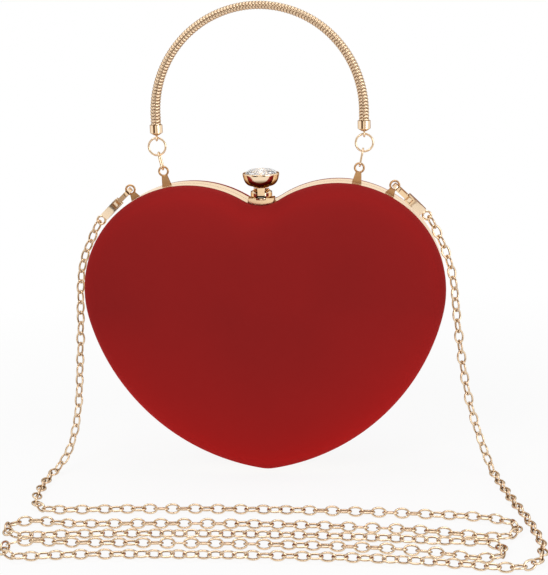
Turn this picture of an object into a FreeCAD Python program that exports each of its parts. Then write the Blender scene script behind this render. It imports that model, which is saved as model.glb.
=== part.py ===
"""Heart-shaped hard-case purse: two domed halves on gilt frames, hinged at the tip, with a jewelled clasp,
a snake-chain handle and a long link-chain strap on two sprung hooks.

Units are millimetres. X is to the right, Y to the rear and Z up. The origin is the underside of the
handle's apex, where a hand or a hook carries the purse.
"""
import FreeCAD, Part
import math
import os
from FreeCAD import Placement, Rotation, Vector
import Sketcher

SIZES = {
    # the heart's outline at the rim of the velvet
    "half_width": 90.0,
    "heart_height": 145.5,
    "lobe_radius": 53.3,
    "flank_radius": 106.0,
    "tip_radius": 18.0,
    "notch_radius": 16.5,
    "crown_height": 85.0,
    "heart_drop": 82.5,
    # the two domed halves, layer by layer
    "dome_depth": 21.0,
    "velvet_pile": 0.8,
    "shell_wall": 1.6,
    "lining_wall": 0.6,
    "glue_gap": 0.1,
    # the metal frames
    "frame_width": 8.0,
    "frame_inset": 0.15,
    "frame_wall": 1.2,
    "frame_flange": 3.0,
    "flange_plate": 1.2,
    "parting_y": 4.0,
    "parting_gap": 0.2,
    # the hinge under the tip
    "hinge_width": 12.0,
    "hinge_middle": 3.8,
    "hinge_drop": 1.2,
    "barrel_radius": 1.6,
    "hinge_pin_radius": 0.7,
    "hinge_play": 0.05,
    "hinge_gap": 0.2,
    "leaf_plate": 0.8,
    "leaf_reach": 6.0,
    # the clasp in the notch
    "clasp_base_length": 12.8,
    "clasp_base_depth": 7.6,
    "clasp_base_height": 3.45,
    "clasp_bead_radius": 5.3,
    "clasp_bead_foot": 4.5,
    "clasp_bead_height": 3.4,
    "clasp_bead_bend": 0.9,
    "clasp_pivot_rise": 2.5,
    "clasp_pin_radius": 0.8,
    "clasp_play": 0.05,
    "clasp_ear_plate": 1.7,
    "clasp_ear_radius": 1.9,
    "clasp_lever_width": 3.8,
    "clasp_side_gap": 0.2,
    "clasp_lever_foot": 1.7,
    "clasp_arm_plate": 1.4,
    "clasp_arm_reach": 9.2,
    "clasp_nose_length": 1.5,
    "clasp_nose_drop": 0.45,
    "clasp_nose_gap": 0.25,
    "clasp_stem_rise": 2.3,
    "clasp_spring_plate": 0.25,
    "clasp_spring_width": 3.0,
    "clasp_spring_foot": 1.0,
    "clasp_spring_front": 3.6,
    "clasp_spring_back": 0.6,
    "clasp_spring_bow": 0.4,
    "catch_width": 5.0,
    "catch_depth": 2.0,
    "catch_setback": 1.2,
    "cup_radius": 9.0,
    "cup_neck_radius": 3.75,
    "cup_height": 7.3,
    "cup_floor": 1.2,
    "cup_rim": 0.8,
    "cup_flare_share": 0.82,
    "cup_flare_rise_share": 0.42,
    "cup_seat_share": 0.78,
    "crystal_table_radius": 4.6,
    "crystal_crown": 1.6,
    "crystal_keel": 3.4,
    "crystal_keel_radius": 3.4,
    "crystal_sides": 12,
    # eyed tabs on the front frame
    "eye_radius": 2.2,
    "eye_wire": 0.5,
    "tab_plate": 1.0,
    "tab_neck_width": 2.8,
    "tab_root_width": 4.8,
    "seat_gap": 0.1,
    "handle_tab_angle": 10.9,
    "handle_tab_reach": 7.6,
    "strap_tab_angle": 29.3,
    "strap_tab_reach": 5.1,
    # the snake-chain handle
    "arch_radius": 50.8,
    "snake_radius": 2.5,
    "snake_groove": 0.3,
    "snake_rib_pitch": 1.55,
    "handle_leg": 4.9,
    "cap_length": 5.0,
    "cap_socket": 3.4,
    "cap_wall": 0.5,
    "cap_nose": 1.2,
    "cap_eye_radius": 1.3,
    "cap_eye_wire": 0.45,
    "cap_eye_drop": 1.3,
    "ring_radius": 4.2,
    "ring_wire": 0.5,
    "handle_link_width": 4.0,
    "handle_link_wire": 0.5,
    "hanging_gap": 0.2,
    # the sprung hooks of the strap
    "hook_bar": 1.6,
    "hook_bar_plate": 2.2,
    "hook_body_plate": 4.0,
    "hook_head_radius": 2.6,
    "hook_body_start": 8.2,
    "hook_shoulder": 13.5,
    "hook_length": 19.0,
    "hook_neck": 2.0,
    "hook_eye_end": 8.6,
    "hook_lean": 44.0,
    "gate_start": 3.4,
    "gate_pivot": 9.6,
    "gate_pin_radius": 0.5,
    "gate_gap": 0.15,
    "gate_relief": 0.6,
    "gate_thumb": 1.3,
    "swivel_post_radius": 0.9,
    "swivel_post_depth": 2.6,
    "swivel_head": 0.6,
    "swivel_eye_radius": 2.0,
    "swivel_eye_wire": 0.55,
    # the strap's link chain
    "link_width": 4.2,
    "link_wire": 0.5,
    "link_length": 6.7,
    "link_gap": 0.25,
    "route_step": 0.25,
    # cuts run past the faces that they open
    "overrun": 1.0,
}

# Depth and scale of the heart sections that shape a dome, from rim to crown.
DOME_DEPTH_SHARES = (0.0, 0.1, 0.3, 0.55, 0.74, 0.87, 0.945, 0.98, 0.9926, 0.996)
DOME_BULGE = 2.8

# The strap's route, by hand: left fall, five rows laid on the table in front, right fall.
CHAIN_ROUTE = (
    (-89.5, 0.0, -115.0), (-92.6, 0.0, -125.0), (-93.9, 0.0, -138.0), (-94.8, 0.0, -156.0),
    (-96.6, -1.0, -179.0), (-98.2, -2.0, -198.6), (-102.5, -2.0, -216.6), (-108.0, -5.0, -227.0),
    (-112.0, -18.0, -228.9), (-111.5, -38.0, -228.9), (-110.0, -56.0, -228.9), (-102.0, -65.0, -228.9),
    (-85.0, -64.0, -228.9), (-50.0, -62.0, -228.9), (0.0, -62.0, -228.9), (50.0, -64.0, -228.9),
    (88.0, -67.5, -228.9), (106.0, -69.5, -228.9), (118.0, -75.0, -228.9), (121.0, -85.5, -228.9),
    (113.5, -94.3, -228.9), (100.0, -92.0, -228.9), (82.0, -87.0, -228.9), (60.0, -84.0, -228.9),
    (0.0, -80.0, -228.9), (-60.0, -81.0, -228.9), (-86.0, -82.5, -228.9), (-98.0, -79.0, -228.9),
    (-109.5, -78.0, -228.9), (-116.0, -87.0, -228.9), (-110.5, -96.5, -228.9), (-99.0, -96.3, -228.9),
    (-86.0, -94.3, -228.9), (-60.0, -93.0, -228.9), (0.0, -92.0, -228.9), (60.0, -95.0, -228.9),
    (85.0, -98.5, -228.9), (97.0, -98.3, -228.9), (108.5, -99.5, -228.9), (113.5, -108.5, -228.9),
    (108.0, -117.5, -228.9), (97.0, -116.5, -228.9), (85.0, -111.5, -228.9), (60.0, -106.5, -228.9),
    (0.0, -103.5, -228.9), (-60.0, -103.8, -228.9), (-82.0, -104.3, -228.9), (-94.0, -102.6, -228.9),
    (-105.5, -102.3, -228.9), (-111.0, -111.0, -228.9), (-105.5, -120.0, -228.9), (-94.0, -120.2, -228.9),
    (-82.0, -118.0, -228.9), (-60.0, -116.3, -228.9), (0.0, -116.0, -228.9), (60.0, -118.0, -228.9),
    (96.0, -123.5, -228.9), (116.0, -128.0, -228.9), (127.0, -120.0, -228.9), (129.5, -104.0, -228.9),
    (128.0, -90.0, -228.9), (125.0, -70.0, -228.9), (120.0, -48.0, -228.9), (116.0, -25.0, -228.9),
    (113.0, -8.0, -228.9), (110.0, -2.0, -222.0), (104.5, 0.0, -206.0), (100.0, 0.0, -187.5),
    (96.8, 0.0, -164.5), (94.9, 0.0, -146.0), (93.9, 0.0, -131.6), (89.5, 0.0, -115.0),
)
# The route's points where one strap node ends and the next begins.
CHAIN_NODE_ENDS = {
    "strap_chain_left": 11, "strap_chain_row_1": 19, "strap_chain_row_2": 29,
    "strap_chain_row_3": 39, "strap_chain_row_4": 49, "strap_chain_row_5": 58, "strap_chain_right": 71,
}

SIDES = {"left": -1, "right": 1}

doc = FreeCAD.newDocument("heart_purse")
sheet = doc.addObject("Spreadsheet::Sheet", "Sizes")
for row, (alias, value) in enumerate(SIZES.items(), start=1):
    sheet.set(f"A{row}", alias)
    sheet.set(f"B{row}", str(value))
    sheet.setAlias(f"B{row}", alias)
doc.recompute()

nodes = {}


def read(formula):
    """The value of a formula written in the sheet's aliases."""
    return float(sheet.evalExpression(formula))


def linked(formula):
    """The same formula as an object outside the sheet has to write it."""
    words = []
    for word in formula.replace("(", " ( ").replace(")", " ) ").split():
        words.append(f"Sizes.{word}" if word in SIZES else word)
    return " ".join(words)


def bind(target, **formulas):
    """Ties properties of an object to formulas of the sheet."""
    for name, formula in formulas.items():
        target.setExpression(name.replace("__", "."), linked(formula))
    return target


def keep(label, made):
    """Names a finished sub-part after its node."""
    made.Label = label
    nodes[label] = made
    return made


def primitive(kind, name, placement=None, **formulas):
    """A Part primitive with its sizes tied to the sheet."""
    made = bind(doc.addObject(f"Part::{kind}", name), **formulas)
    if placement:
        made.Placement = placement
    return made


def boolean(kind, name, base, tool):
    made = doc.addObject(f"Part::{kind}", name)
    made.Base = base
    made.Tool = tool
    return made


def solid_feature(name, shape, placement=None):
    """A Part feature whose shape is worked out here."""
    made = doc.addObject("Part::Feature", name)
    made.Shape = shape
    if placement:
        made.Placement = placement
    return made


def new_body(name, placement=None):
    body = doc.addObject("PartDesign::Body", name)
    if placement:
        body.Placement = placement
    return body


def origin_plane(body, role):
    return next(part for part in body.Origin.OriginFeatures if part.Role == role)


def new_sketch(body, name, role, offset=None):
    sketch = body.newObject("Sketcher::SketchObject", name)
    sketch.AttachmentSupport = [(origin_plane(body, role), "")]
    sketch.MapMode = "FlatFace"
    if offset:
        bind(sketch, AttachmentOffset__Base__z=offset)
    return sketch


def outline_sketch(body, name, role, corners, offset=None):
    """A closed outline of straight runs through corners, each a pair of formulas tied to the sheet."""
    sketch = new_sketch(body, name, role, offset)
    points = [Vector(read(first), read(second), 0) for first, second in corners]
    for index, point in enumerate(points):
        sketch.addGeometry(Part.LineSegment(point, points[(index + 1) % len(points)]), False)
    for index, (first, second) in enumerate(corners):
        before = (index - 1) % len(corners)
        sketch.addConstraint(Sketcher.Constraint("Coincident", before, 2, index, 1))
        point = points[index]
        for kind, formula, place in (("DistanceX", first, point.x), ("DistanceY", second, point.y)):
            number = sketch.addConstraint(Sketcher.Constraint(kind, -1, 1, index, 1, place))
            sketch.renameConstraint(number, f"{kind}_{index}")
            sketch.setExpression(f"Constraints.{kind}_{index}", linked(formula))
    return sketch


def pad(body, name, sketch, length, both_ways=False):
    made = bind(body.newObject("PartDesign::Pad", name), Length=length)
    made.Profile = sketch
    made.Midplane = both_ways
    return made


def pocket(body, name, sketch, length=None):
    """A pocket that follows the sketch's own side, or goes right through both ways."""
    made = body.newObject("PartDesign::Pocket", name)
    made.Profile = sketch
    if length:
        bind(made, Length=length)
        made.Reversed = True
    else:
        made.Type = "ThroughAll"
        made.Midplane = True
    return made


def revolve(body, name, sketch):
    """A full turn of a sketch about its own vertical axis."""
    made = body.newObject("PartDesign::Revolution", name)
    made.Profile = sketch
    made.ReferenceAxis = (sketch, ["V_Axis"])
    made.Angle = 360
    return made


# The heart's outline: a notch arc, two lobe arcs, two flank arcs and a tip arc, all tangent.

def touching_centre(first, first_reach, second, second_reach):
    """The point at given distances from two centres, on the side towards the heart's middle."""
    apart = second - first
    along = (first_reach ** 2 - second_reach ** 2 + apart.Length ** 2) / (2 * apart.Length)
    rise = math.sqrt(first_reach ** 2 - along ** 2)
    unit = apart / apart.Length
    across = Vector(-unit.y, unit.x, 0)
    return min((first + unit * along + across * rise, first + unit * along - across * rise), key=lambda p: p.x)


def heart_sketch(body, name, inset, scale, offset):
    """A heart drawn in by inset after scaling about the crown's centre, as a fully tied sketch."""
    sketch = new_sketch(body, name, "XZ_Plane", offset)
    lobe_radius = f"lobe_radius * {scale} - ( {inset} )"
    flank_radius = f"flank_radius * {scale} - ( {inset} )"
    tip_radius = f"tip_radius * {scale} - ( {inset} )"
    notch_radius = f"notch_radius * {scale} + ( {inset} )"
    lobe_x = f"( half_width - lobe_radius ) * {scale}"
    lobe_z = f"crown_height + ( heart_height - lobe_radius - crown_height ) * {scale}"
    tip_z = f"crown_height + ( tip_radius - crown_height ) * {scale}"
    lobe = Vector(read(lobe_x), read(lobe_z), 0)
    tip = Vector(0, read(tip_z), 0)
    lobe_r, flank_r = read(lobe_radius), read(flank_radius)
    tip_r, notch_r = read(tip_radius), read(notch_radius)
    flank = touching_centre(lobe, flank_r - lobe_r, tip, flank_r - tip_r)
    notch = Vector(0, lobe.y + math.sqrt((lobe_r + notch_r) ** 2 - lobe.x ** 2), 0)
    notch_angle = math.atan2(lobe.y - notch.y, lobe.x)
    lobe_start = math.atan2(lobe.y - flank.y, lobe.x - flank.x)
    tip_end = math.atan2(tip.y - flank.y, -flank.x)
    half_turn = math.pi
    spans = (
        (notch, notch_r, -half_turn - notch_angle, notch_angle),
        (lobe, lobe_r, lobe_start, half_turn + notch_angle),
        (flank, flank_r, tip_end, lobe_start),
        (tip, tip_r, -half_turn - tip_end, tip_end),
        (Vector(-flank.x, flank.y, 0), flank_r, half_turn - lobe_start, half_turn - tip_end),
        (Vector(-lobe.x, lobe.y, 0), lobe_r, -notch_angle, half_turn - lobe_start),
    )
    for centre, radius, start, end in spans:
        circle = Part.Circle(centre, Vector(0, 0, 1), radius)
        sketch.addGeometry(Part.ArcOfCircle(circle, start, end), False)
    joins = ((0, 2, 1, 2), (1, 1, 2, 2), (2, 1, 3, 2), (3, 1, 4, 2), (4, 1, 5, 2), (5, 1, 0, 1))
    for join in joins:
        sketch.addConstraint(Sketcher.Constraint("Tangent", *join))
    sketch.addConstraint(Sketcher.Constraint("Equal", 1, 5))
    sketch.addConstraint(Sketcher.Constraint("Equal", 2, 4))
    sketch.addConstraint(Sketcher.Constraint("Symmetric", 1, 3, 5, 3, -2))
    sketch.addConstraint(Sketcher.Constraint("PointOnObject", 3, 3, -2))
    driven = (
        ("notch_radius", Sketcher.Constraint("Radius", 0, notch_r), notch_radius),
        ("lobe_radius", Sketcher.Constraint("Radius", 1, lobe_r), lobe_radius),
        ("flank_radius", Sketcher.Constraint("Radius", 2, flank_r), flank_radius),
        ("tip_radius", Sketcher.Constraint("Radius", 3, tip_r), tip_radius),
        ("tip_z", Sketcher.Constraint("DistanceY", -1, 1, 3, 3, tip.y), tip_z),
        ("lobe_x", Sketcher.Constraint("DistanceX", -1, 1, 1, 3, lobe.x), lobe_x),
        ("lobe_z", Sketcher.Constraint("DistanceY", -1, 1, 1, 3, lobe.y), lobe_z),
    )
    for word, constraint, formula in driven:
        number = sketch.addConstraint(constraint)
        sketch.renameConstraint(number, word)
        sketch.setExpression(f"Constraints.{word}", linked(formula))
    return sketch


def dome_loft(body, kind, name, offset):
    """A loft from rim to crown through hearts that follow the dome at a depth below its skin."""
    sections = []
    for index, depth_share in enumerate(DOME_DEPTH_SHARES):
        scale = (1 - depth_share ** DOME_BULGE) ** (1 / DOME_BULGE)
        slope = Vector(scale ** (DOME_BULGE - 1), depth_share ** (DOME_BULGE - 1), 0)
        slope = Vector(slope.x / read("crown_height"), slope.y / read("dome_depth"), 0)
        inward_share, deep_share = slope.x / slope.Length, slope.y / slope.Length
        inset = f"( {offset} ) * {inward_share:.5f}"
        depth = f"dome_depth * {depth_share} - ( {offset} ) * {deep_share:.5f}"
        sections.append(heart_sketch(body, f"{name}_section_{index}", inset, f"{scale:.5f}", depth))
    loft = body.newObject(f"PartDesign::{kind}", name)
    loft.Profile = sections[0]
    loft.Sections = sections[1:]
    loft.Ruled = False
    return loft


HALF_TURN = Rotation(Vector(0, 0, 1), 180)
HEART_BASE = -read("heart_drop + heart_height")
LOBE_X = read("half_width - lobe_radius")
LOBE_Z = -read("heart_drop + lobe_radius")
HALVES = {"front": -1, "rear": 1}


def half_placement(side, from_parting):
    """A half's own frame, so far from the parting plane: its local -Y leads out to its crown."""
    turn = HALF_TURN if side > 0 else Rotation()
    return Placement(Vector(0, read("parting_y") + side * from_parting, HEART_BASE), turn)


def make_dome_layer(half, layer, outside, wall):
    """One hollow skin of a half: velvet, moulded shell or lining."""
    from_parting = read("parting_gap / 2 + frame_width + glue_gap")
    body = new_body(f"{half}_{layer}", half_placement(HALVES[half], from_parting))
    dome_loft(body, "AdditiveLoft", f"{half}_{layer}_outside", outside)
    dome_loft(body, "SubtractiveLoft", f"{half}_{layer}_inside", f"{outside} + {wall}")
    keep(f"{half}_{layer}", body)


for half in HALVES:
    make_dome_layer(half, "velvet", "0", "velvet_pile")
    make_dome_layer(half, "shell", "velvet_pile + glue_gap", "shell_wall")
    make_dome_layer(half, "lining", "velvet_pile + shell_wall + 2 * glue_gap", "lining_wall")


# The frames and the hinge under the tip.

HINGE_AXIS = Vector(0, read("parting_y"), HEART_BASE + read("frame_inset - hinge_drop"))
ALONG_X = Rotation(Vector(0, 1, 0), 90)


def barrel(name, radius, length, centre_x="0"):
    """A cylinder on the hinge axis, centred so far along it."""
    start = Vector(read(f"{centre_x} - ( {length} ) / 2"), HINGE_AXIS.y, HINGE_AXIS.z)
    return primitive("Cylinder", name, Placement(start, ALONG_X), Radius=radius, Height=length)


def make_frame(half):
    """An L-section band on the heart's outline, relieved round the hinge barrel."""
    body = new_body(f"{half}_band", half_placement(HALVES[half], read("parting_gap / 2")))
    wall_in = "frame_inset + frame_wall"
    rim = heart_sketch(body, f"{half}_band_rim", "frame_inset", "1", "0")
    pad(body, f"{half}_band_pad", rim, "frame_width")
    mouth = heart_sketch(body, f"{half}_band_mouth", f"{wall_in} + frame_flange", "1", "0")
    pocket(body, f"{half}_band_opening", mouth)
    step = heart_sketch(body, f"{half}_band_step", wall_in, "1", "0")
    pocket(body, f"{half}_band_recess", step, "frame_width - flange_plate")
    relief = barrel(f"{half}_hinge_relief", "barrel_radius + hinge_gap", "hinge_width + 2 * hinge_gap")
    keep(f"{half}_frame", boolean("Cut", f"{half}_frame_cut", body, relief))


def make_hinge_leaf(half, own_widths, other_widths):
    """A leaf curved to the tip with its own knuckles, clear of the other leaf's knuckles."""
    body = new_body(f"{half}_leaf", half_placement(HALVES[half], read("hinge_gap")))
    rim = heart_sketch(body, f"{half}_leaf_rim", "frame_inset - seat_gap - leaf_plate", "1", "0")
    pad(body, f"{half}_leaf_pad", rim, "leaf_reach")
    seat = heart_sketch(body, f"{half}_leaf_seat", "frame_inset - seat_gap", "1", "0")
    pocket(body, f"{half}_leaf_hollow", seat)
    window = primitive("Box", f"{half}_leaf_window", Length="hinge_width", Width="4 * frame_width",
                       Height="heart_height / 2")
    window_z = HEART_BASE - read("heart_height / 4")
    window.Placement.Base = Vector(-read("hinge_width / 2"), -read("2 * frame_width"), window_z)
    leaf = boolean("Common", f"{half}_leaf_plate", body, window)
    for index, (width, centre) in enumerate(other_widths):
        room_width = f"{width} + 2 * hinge_gap"
        room = barrel(f"{half}_knuckle_room_{index}", "barrel_radius + hinge_gap", room_width, centre)
        leaf = boolean("Cut", f"{half}_leaf_notched_{index}", leaf, room)
    for index, (width, centre) in enumerate(own_widths):
        knuckle = barrel(f"{half}_knuckle_{index}", "barrel_radius", width, centre)
        leaf = boolean("Fuse", f"{half}_leaf_knuckled_{index}", leaf, knuckle)
    bore = barrel(f"{half}_hinge_bore", "hinge_pin_radius + hinge_play", "hinge_width + 2 * overrun")
    keep(f"{half}_hinge_leaf", boolean("Cut", f"{half}_leaf_bored", leaf, bore))


outer_width = "( hinge_width - hinge_middle ) / 2 - hinge_gap"
outer_centre = "( hinge_width + hinge_middle ) / 4 + hinge_gap / 2"
middle_knuckle = (("hinge_middle", "0"),)
outer_knuckles = ((outer_width, outer_centre), (outer_width, f"0 - ( {outer_centre} )"))
for half in HALVES:
    make_frame(half)
make_hinge_leaf("front", middle_knuckle, outer_knuckles)
make_hinge_leaf("rear", outer_knuckles, middle_knuckle)
keep("hinge_pin", barrel("hinge_rod", "hinge_pin_radius", "hinge_width"))


# The clasp: a base in the notch, a sprung lever with a jewelled cup, and the catch behind it.

NOTCH_RADIUS = read("notch_radius + frame_inset")
NOTCH_CENTRE_Z = LOBE_Z + math.sqrt(read("lobe_radius + notch_radius") ** 2 - LOBE_X ** 2)
NOTCH_FLOOR = NOTCH_CENTRE_Z - NOTCH_RADIUS
BASE_TOP = NOTCH_FLOOR + read("clasp_base_height")
PIVOT_Z = BASE_TOP + read("clasp_pivot_rise")
CUP_FOOT_Z = PIVOT_Z + read("clasp_stem_rise")
ALONG_Y = Rotation(Vector(1, 0, 0), -90)


def notch_saddle(name, length, depth, front_y, top_z):
    """A block that rests on the notch's curve: a box trimmed by the notch's own circle."""
    block = primitive("Box", f"{name}_block", Length=length, Width=depth, Height="notch_radius")
    block.Placement.Base = Vector(-read(length) / 2, front_y, top_z - read("notch_radius"))
    disc_radius = "notch_radius + frame_inset - seat_gap"
    disc = primitive("Cylinder", f"{name}_disc", Radius=disc_radius, Height="4 * frame_width")
    disc.Placement = Placement(Vector(0, -read("2 * frame_width"), NOTCH_CENTRE_Z), ALONG_Y)
    return boolean("Common", f"{name}_saddle", block, disc)


def pivot_rod(name, radius, length):
    start = Vector(-read(length) / 2, 0, PIVOT_Z)
    return primitive("Cylinder", name, Placement(start, ALONG_X), Radius=radius, Height=length)


def make_clasp_bead():
    """The round bead that stands on the base, sunk a little into it."""
    bead = new_body("clasp_bead", Placement(Vector(0, 0, BASE_TOP), Rotation()))
    sunk = "0 - clasp_bead_bend"
    corners = (
        ("0", sunk), ("clasp_bead_foot", sunk), ("clasp_bead_foot", "0"), ("clasp_bead_radius", "clasp_bead_bend"),
        ("clasp_bead_radius", "clasp_bead_height - clasp_bead_bend"), ("clasp_bead_foot", "clasp_bead_height"),
        ("0", "clasp_bead_height"),
    )
    revolve(bead, "bead_turn", outline_sketch(bead, "bead_profile", "XZ_Plane", corners))
    return bead


def make_bead_slot():
    """Room in the bead for the lever, open to the front and the rear."""
    slot = primitive("Box", "clasp_bead_slot", Length="clasp_lever_width + 2 * clasp_side_gap",
                     Width="4 * clasp_bead_radius", Height="clasp_bead_height + overrun")
    slot.Placement.Base = Vector(-read("clasp_lever_width / 2 + clasp_side_gap"), -read("2 * clasp_bead_radius"), BASE_TOP)
    return slot


def make_clasp_base():
    front_y = -read("clasp_base_depth") / 2
    base = notch_saddle("clasp_base", "clasp_base_length", "clasp_base_depth", front_y, BASE_TOP)
    for name, side in SIDES.items():
        inner = side * read("clasp_lever_width / 2 + clasp_side_gap + clasp_ear_plate / 2")
        start = Vector(inner - read("clasp_ear_plate") / 2, 0, PIVOT_Z)
        knob = primitive("Cylinder", f"ear_{name}", Placement(start, ALONG_X), Radius="clasp_ear_radius",
                         Height="clasp_ear_plate")
        post = primitive("Box", f"ear_post_{name}", Length="clasp_ear_plate", Width="2 * clasp_ear_radius",
                         Height="clasp_pivot_rise + overrun")
        post.Placement.Base = Vector(start.x, -read("clasp_ear_radius"), BASE_TOP - read("overrun"))
        base = boolean("Fuse", f"base_post_{name}", base, post)
        base = boolean("Fuse", f"base_ear_{name}", base, knob)
    bead = boolean("Cut", "clasp_bead_slotted", make_clasp_bead(), make_bead_slot())
    base = boolean("Fuse", "base_with_bead", base, bead)
    bore = pivot_rod("base_bore", "clasp_pin_radius", "clasp_base_length")
    keep("clasp_base", boolean("Cut", "clasp_base_bored", base, bore))
    keep("clasp_pin", pivot_rod("clasp_rod", "clasp_pin_radius", "2 * ( clasp_bead_radius - seat_gap )"))


def make_clasp_lever():
    """The lever's side view: a stem through the pivot and an arm that reaches over the rear frame."""
    body = new_body("lever_side", Placement(Vector(0, 0, PIVOT_Z), Rotation()))
    arm_low = "0 - clasp_pivot_rise + clasp_nose_gap"
    corners = (
        ("0 - clasp_ear_radius", "0 - clasp_lever_foot"), ("clasp_ear_radius", "0 - clasp_lever_foot"),
        ("clasp_ear_radius", arm_low),
        ("clasp_arm_reach - clasp_nose_length", arm_low),
        ("clasp_arm_reach - clasp_nose_length", f"{arm_low} - clasp_nose_drop"),
        ("clasp_arm_reach", f"{arm_low} - clasp_nose_drop"),
        ("clasp_arm_reach", f"{arm_low} + clasp_arm_plate"),
        ("clasp_ear_radius", f"{arm_low} + clasp_arm_plate"),
        ("clasp_ear_radius", "clasp_stem_rise"), ("0 - clasp_ear_radius", "clasp_stem_rise"),
    )
    side_view = outline_sketch(body, "lever_outline", "YZ_Plane", corners)
    pad(body, "lever_pad", side_view, "clasp_lever_width", both_ways=True)
    bore = pivot_rod("lever_bore", "clasp_pin_radius + clasp_play", "clasp_base_length")
    keep("clasp_lever", boolean("Cut", "clasp_lever_bored", body, bore))
    spring = new_body("spring_side", Placement(Vector(0, 0, BASE_TOP), Rotation()))
    bend = "clasp_spring_foot - clasp_spring_front"
    corners = (
        ("0 - clasp_spring_front", "seat_gap"), (bend, "seat_gap"),
        ("0 - clasp_spring_back", "seat_gap + clasp_spring_bow"),
        ("0 - clasp_spring_back", "seat_gap + clasp_spring_bow + clasp_spring_plate"),
        (bend, "seat_gap + clasp_spring_plate"), ("0 - clasp_spring_front", "seat_gap + clasp_spring_plate"),
    )
    leaf = outline_sketch(spring, "spring_outline", "YZ_Plane", corners)
    pad(spring, "spring_pad", leaf, "clasp_spring_width", both_ways=True)
    keep("clasp_spring", spring)


def make_cup_and_crystal():
    """A flared cup on the lever with a round cut stone set in its rim."""
    cup = new_body("clasp_cup_turned", Placement(Vector(0, 0, CUP_FOOT_Z), Rotation()))
    inside = "cup_radius - cup_rim"
    seat = "cup_height * cup_seat_share"
    corners = (
        ("0", "0"), ("cup_neck_radius", "0"), ("cup_neck_radius + cup_rim", "cup_floor"),
        ("cup_radius * cup_flare_share", "cup_height * cup_flare_rise_share"),
        ("cup_radius", seat), ("cup_radius", "cup_height"),
        (inside, "cup_height"), (inside, seat),
        ("crystal_keel_radius + seat_gap", f"{seat} - crystal_keel"), ("0", f"{seat} - crystal_keel"),
    )
    revolve(cup, "cup_turn", outline_sketch(cup, "cup_profile", "XZ_Plane", corners))
    keep("clasp_cup", cup)
    girdle_z = CUP_FOOT_Z + read(f"{seat} + seat_gap")
    rings = (
        ("keel", "crystal_keel_radius - seat_gap", -read("crystal_keel - seat_gap")),
        ("girdle", f"{inside} - seat_gap", 0.0),
        ("belt", f"{inside} - seat_gap", read(f"cup_height - {seat}")),
        ("table", "crystal_table_radius", read(f"cup_height - {seat} + crystal_crown - seat_gap")),
    )
    cuts = []
    for name, radius, rise in rings:
        cut = primitive("RegularPolygon", f"crystal_{name}", Circumradius=radius, Polygon="crystal_sides")
        cut.Placement.Base = Vector(0, 0, girdle_z + rise)
        cuts.append(cut)
    stone = doc.addObject("Part::Loft", "crystal_stone")
    stone.Sections = cuts
    stone.Solid = True
    stone.Ruled = True
    keep("clasp_crystal", stone)


def make_clasp_catch():
    front_y = read("parting_y + parting_gap / 2 + catch_setback")
    top_z = BASE_TOP - read("clasp_nose_drop")
    keep("clasp_catch", notch_saddle("clasp_catch", "catch_width", "catch_depth", front_y, top_z))


make_clasp_base()
make_clasp_lever()
make_cup_and_crystal()
make_clasp_catch()


# Eyed tabs that stand on the front frame's band.

def tab_eye(side, angle, reach):
    """The centre of a tab's eye: out from the lobe's centre at an angle from upright."""
    turn = math.radians(read(angle))
    out = read(f"lobe_radius + {reach}")
    return Vector(side * (LOBE_X + out * math.sin(turn)), 0, LOBE_Z + out * math.cos(turn))


def make_tab(name, side, angle, reach):
    """A flat tapered plate rooted on the band, with a round eye at its top."""
    place = Placement(tab_eye(side, angle, reach), Rotation(Vector(0, 1, 0), side * read(angle)))
    plate = new_body(f"{name}_plate_body", place)
    root = f"0 - {reach} - frame_inset + seat_gap"
    corners = (
        ("0 - tab_neck_width / 2", "0 - eye_radius"), ("0 - tab_root_width / 2", root),
        ("tab_root_width / 2", root), ("tab_neck_width / 2", "0 - eye_radius"),
    )
    flat = outline_sketch(plate, f"{name}_outline", "XZ_Plane", corners)
    pad(plate, f"{name}_pad", flat, "tab_plate", both_ways=True)
    eye = primitive("Torus", f"{name}_eye", Radius1="eye_radius", Radius2="eye_wire")
    eye.Placement = Placement(place.Base, ALONG_Y)
    keep(name, boolean("Fuse", f"{name}_whole", plate, eye))


for word, side in SIDES.items():
    make_tab(f"handle_tab_{word}", side, "handle_tab_angle", "handle_tab_reach")
    make_tab(f"strap_tab_{word}", side, "strap_tab_angle", "strap_tab_reach")


# The handle: a ribbed snake chain in an arch, its end caps, rings and links.

ARCH_CENTRE_Z = read("snake_radius - arch_radius")
LEG_END_Z = ARCH_CENTRE_Z - read("handle_leg")
CAP_FOOT_Z = LEG_END_Z - read("cap_length")
CAP_EYE_Z = CAP_FOOT_Z - read("cap_eye_drop")
RING_TOP_Z = CAP_EYE_Z - read("cap_eye_radius - cap_eye_wire - ring_wire - hanging_gap")
RING_Z = RING_TOP_Z - read("ring_radius")
IN_PLANE = Vector(0, 1, 0)


def oval_link(length, width, wire):
    """A closed oval of round wire in the XZ plane: centreline length and width, and wire radius."""
    bend = width / 2
    run = length / 2 - bend
    corners = [Vector(-bend, 0, -run), Vector(-bend, 0, run), Vector(bend, 0, run), Vector(bend, 0, -run)]
    path = Part.Wire([
        Part.LineSegment(corners[0], corners[1]).toShape(),
        Part.Arc(corners[1], Vector(0, 0, length / 2), corners[2]).toShape(),
        Part.LineSegment(corners[2], corners[3]).toShape(),
        Part.Arc(corners[3], Vector(0, 0, -length / 2), corners[0]).toShape(),
    ])
    section = Part.Wire([Part.Circle(corners[0], Vector(0, 0, 1), wire).toShape()])
    return Part.Solid(path.makePipeShell([section], True, False))


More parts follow.
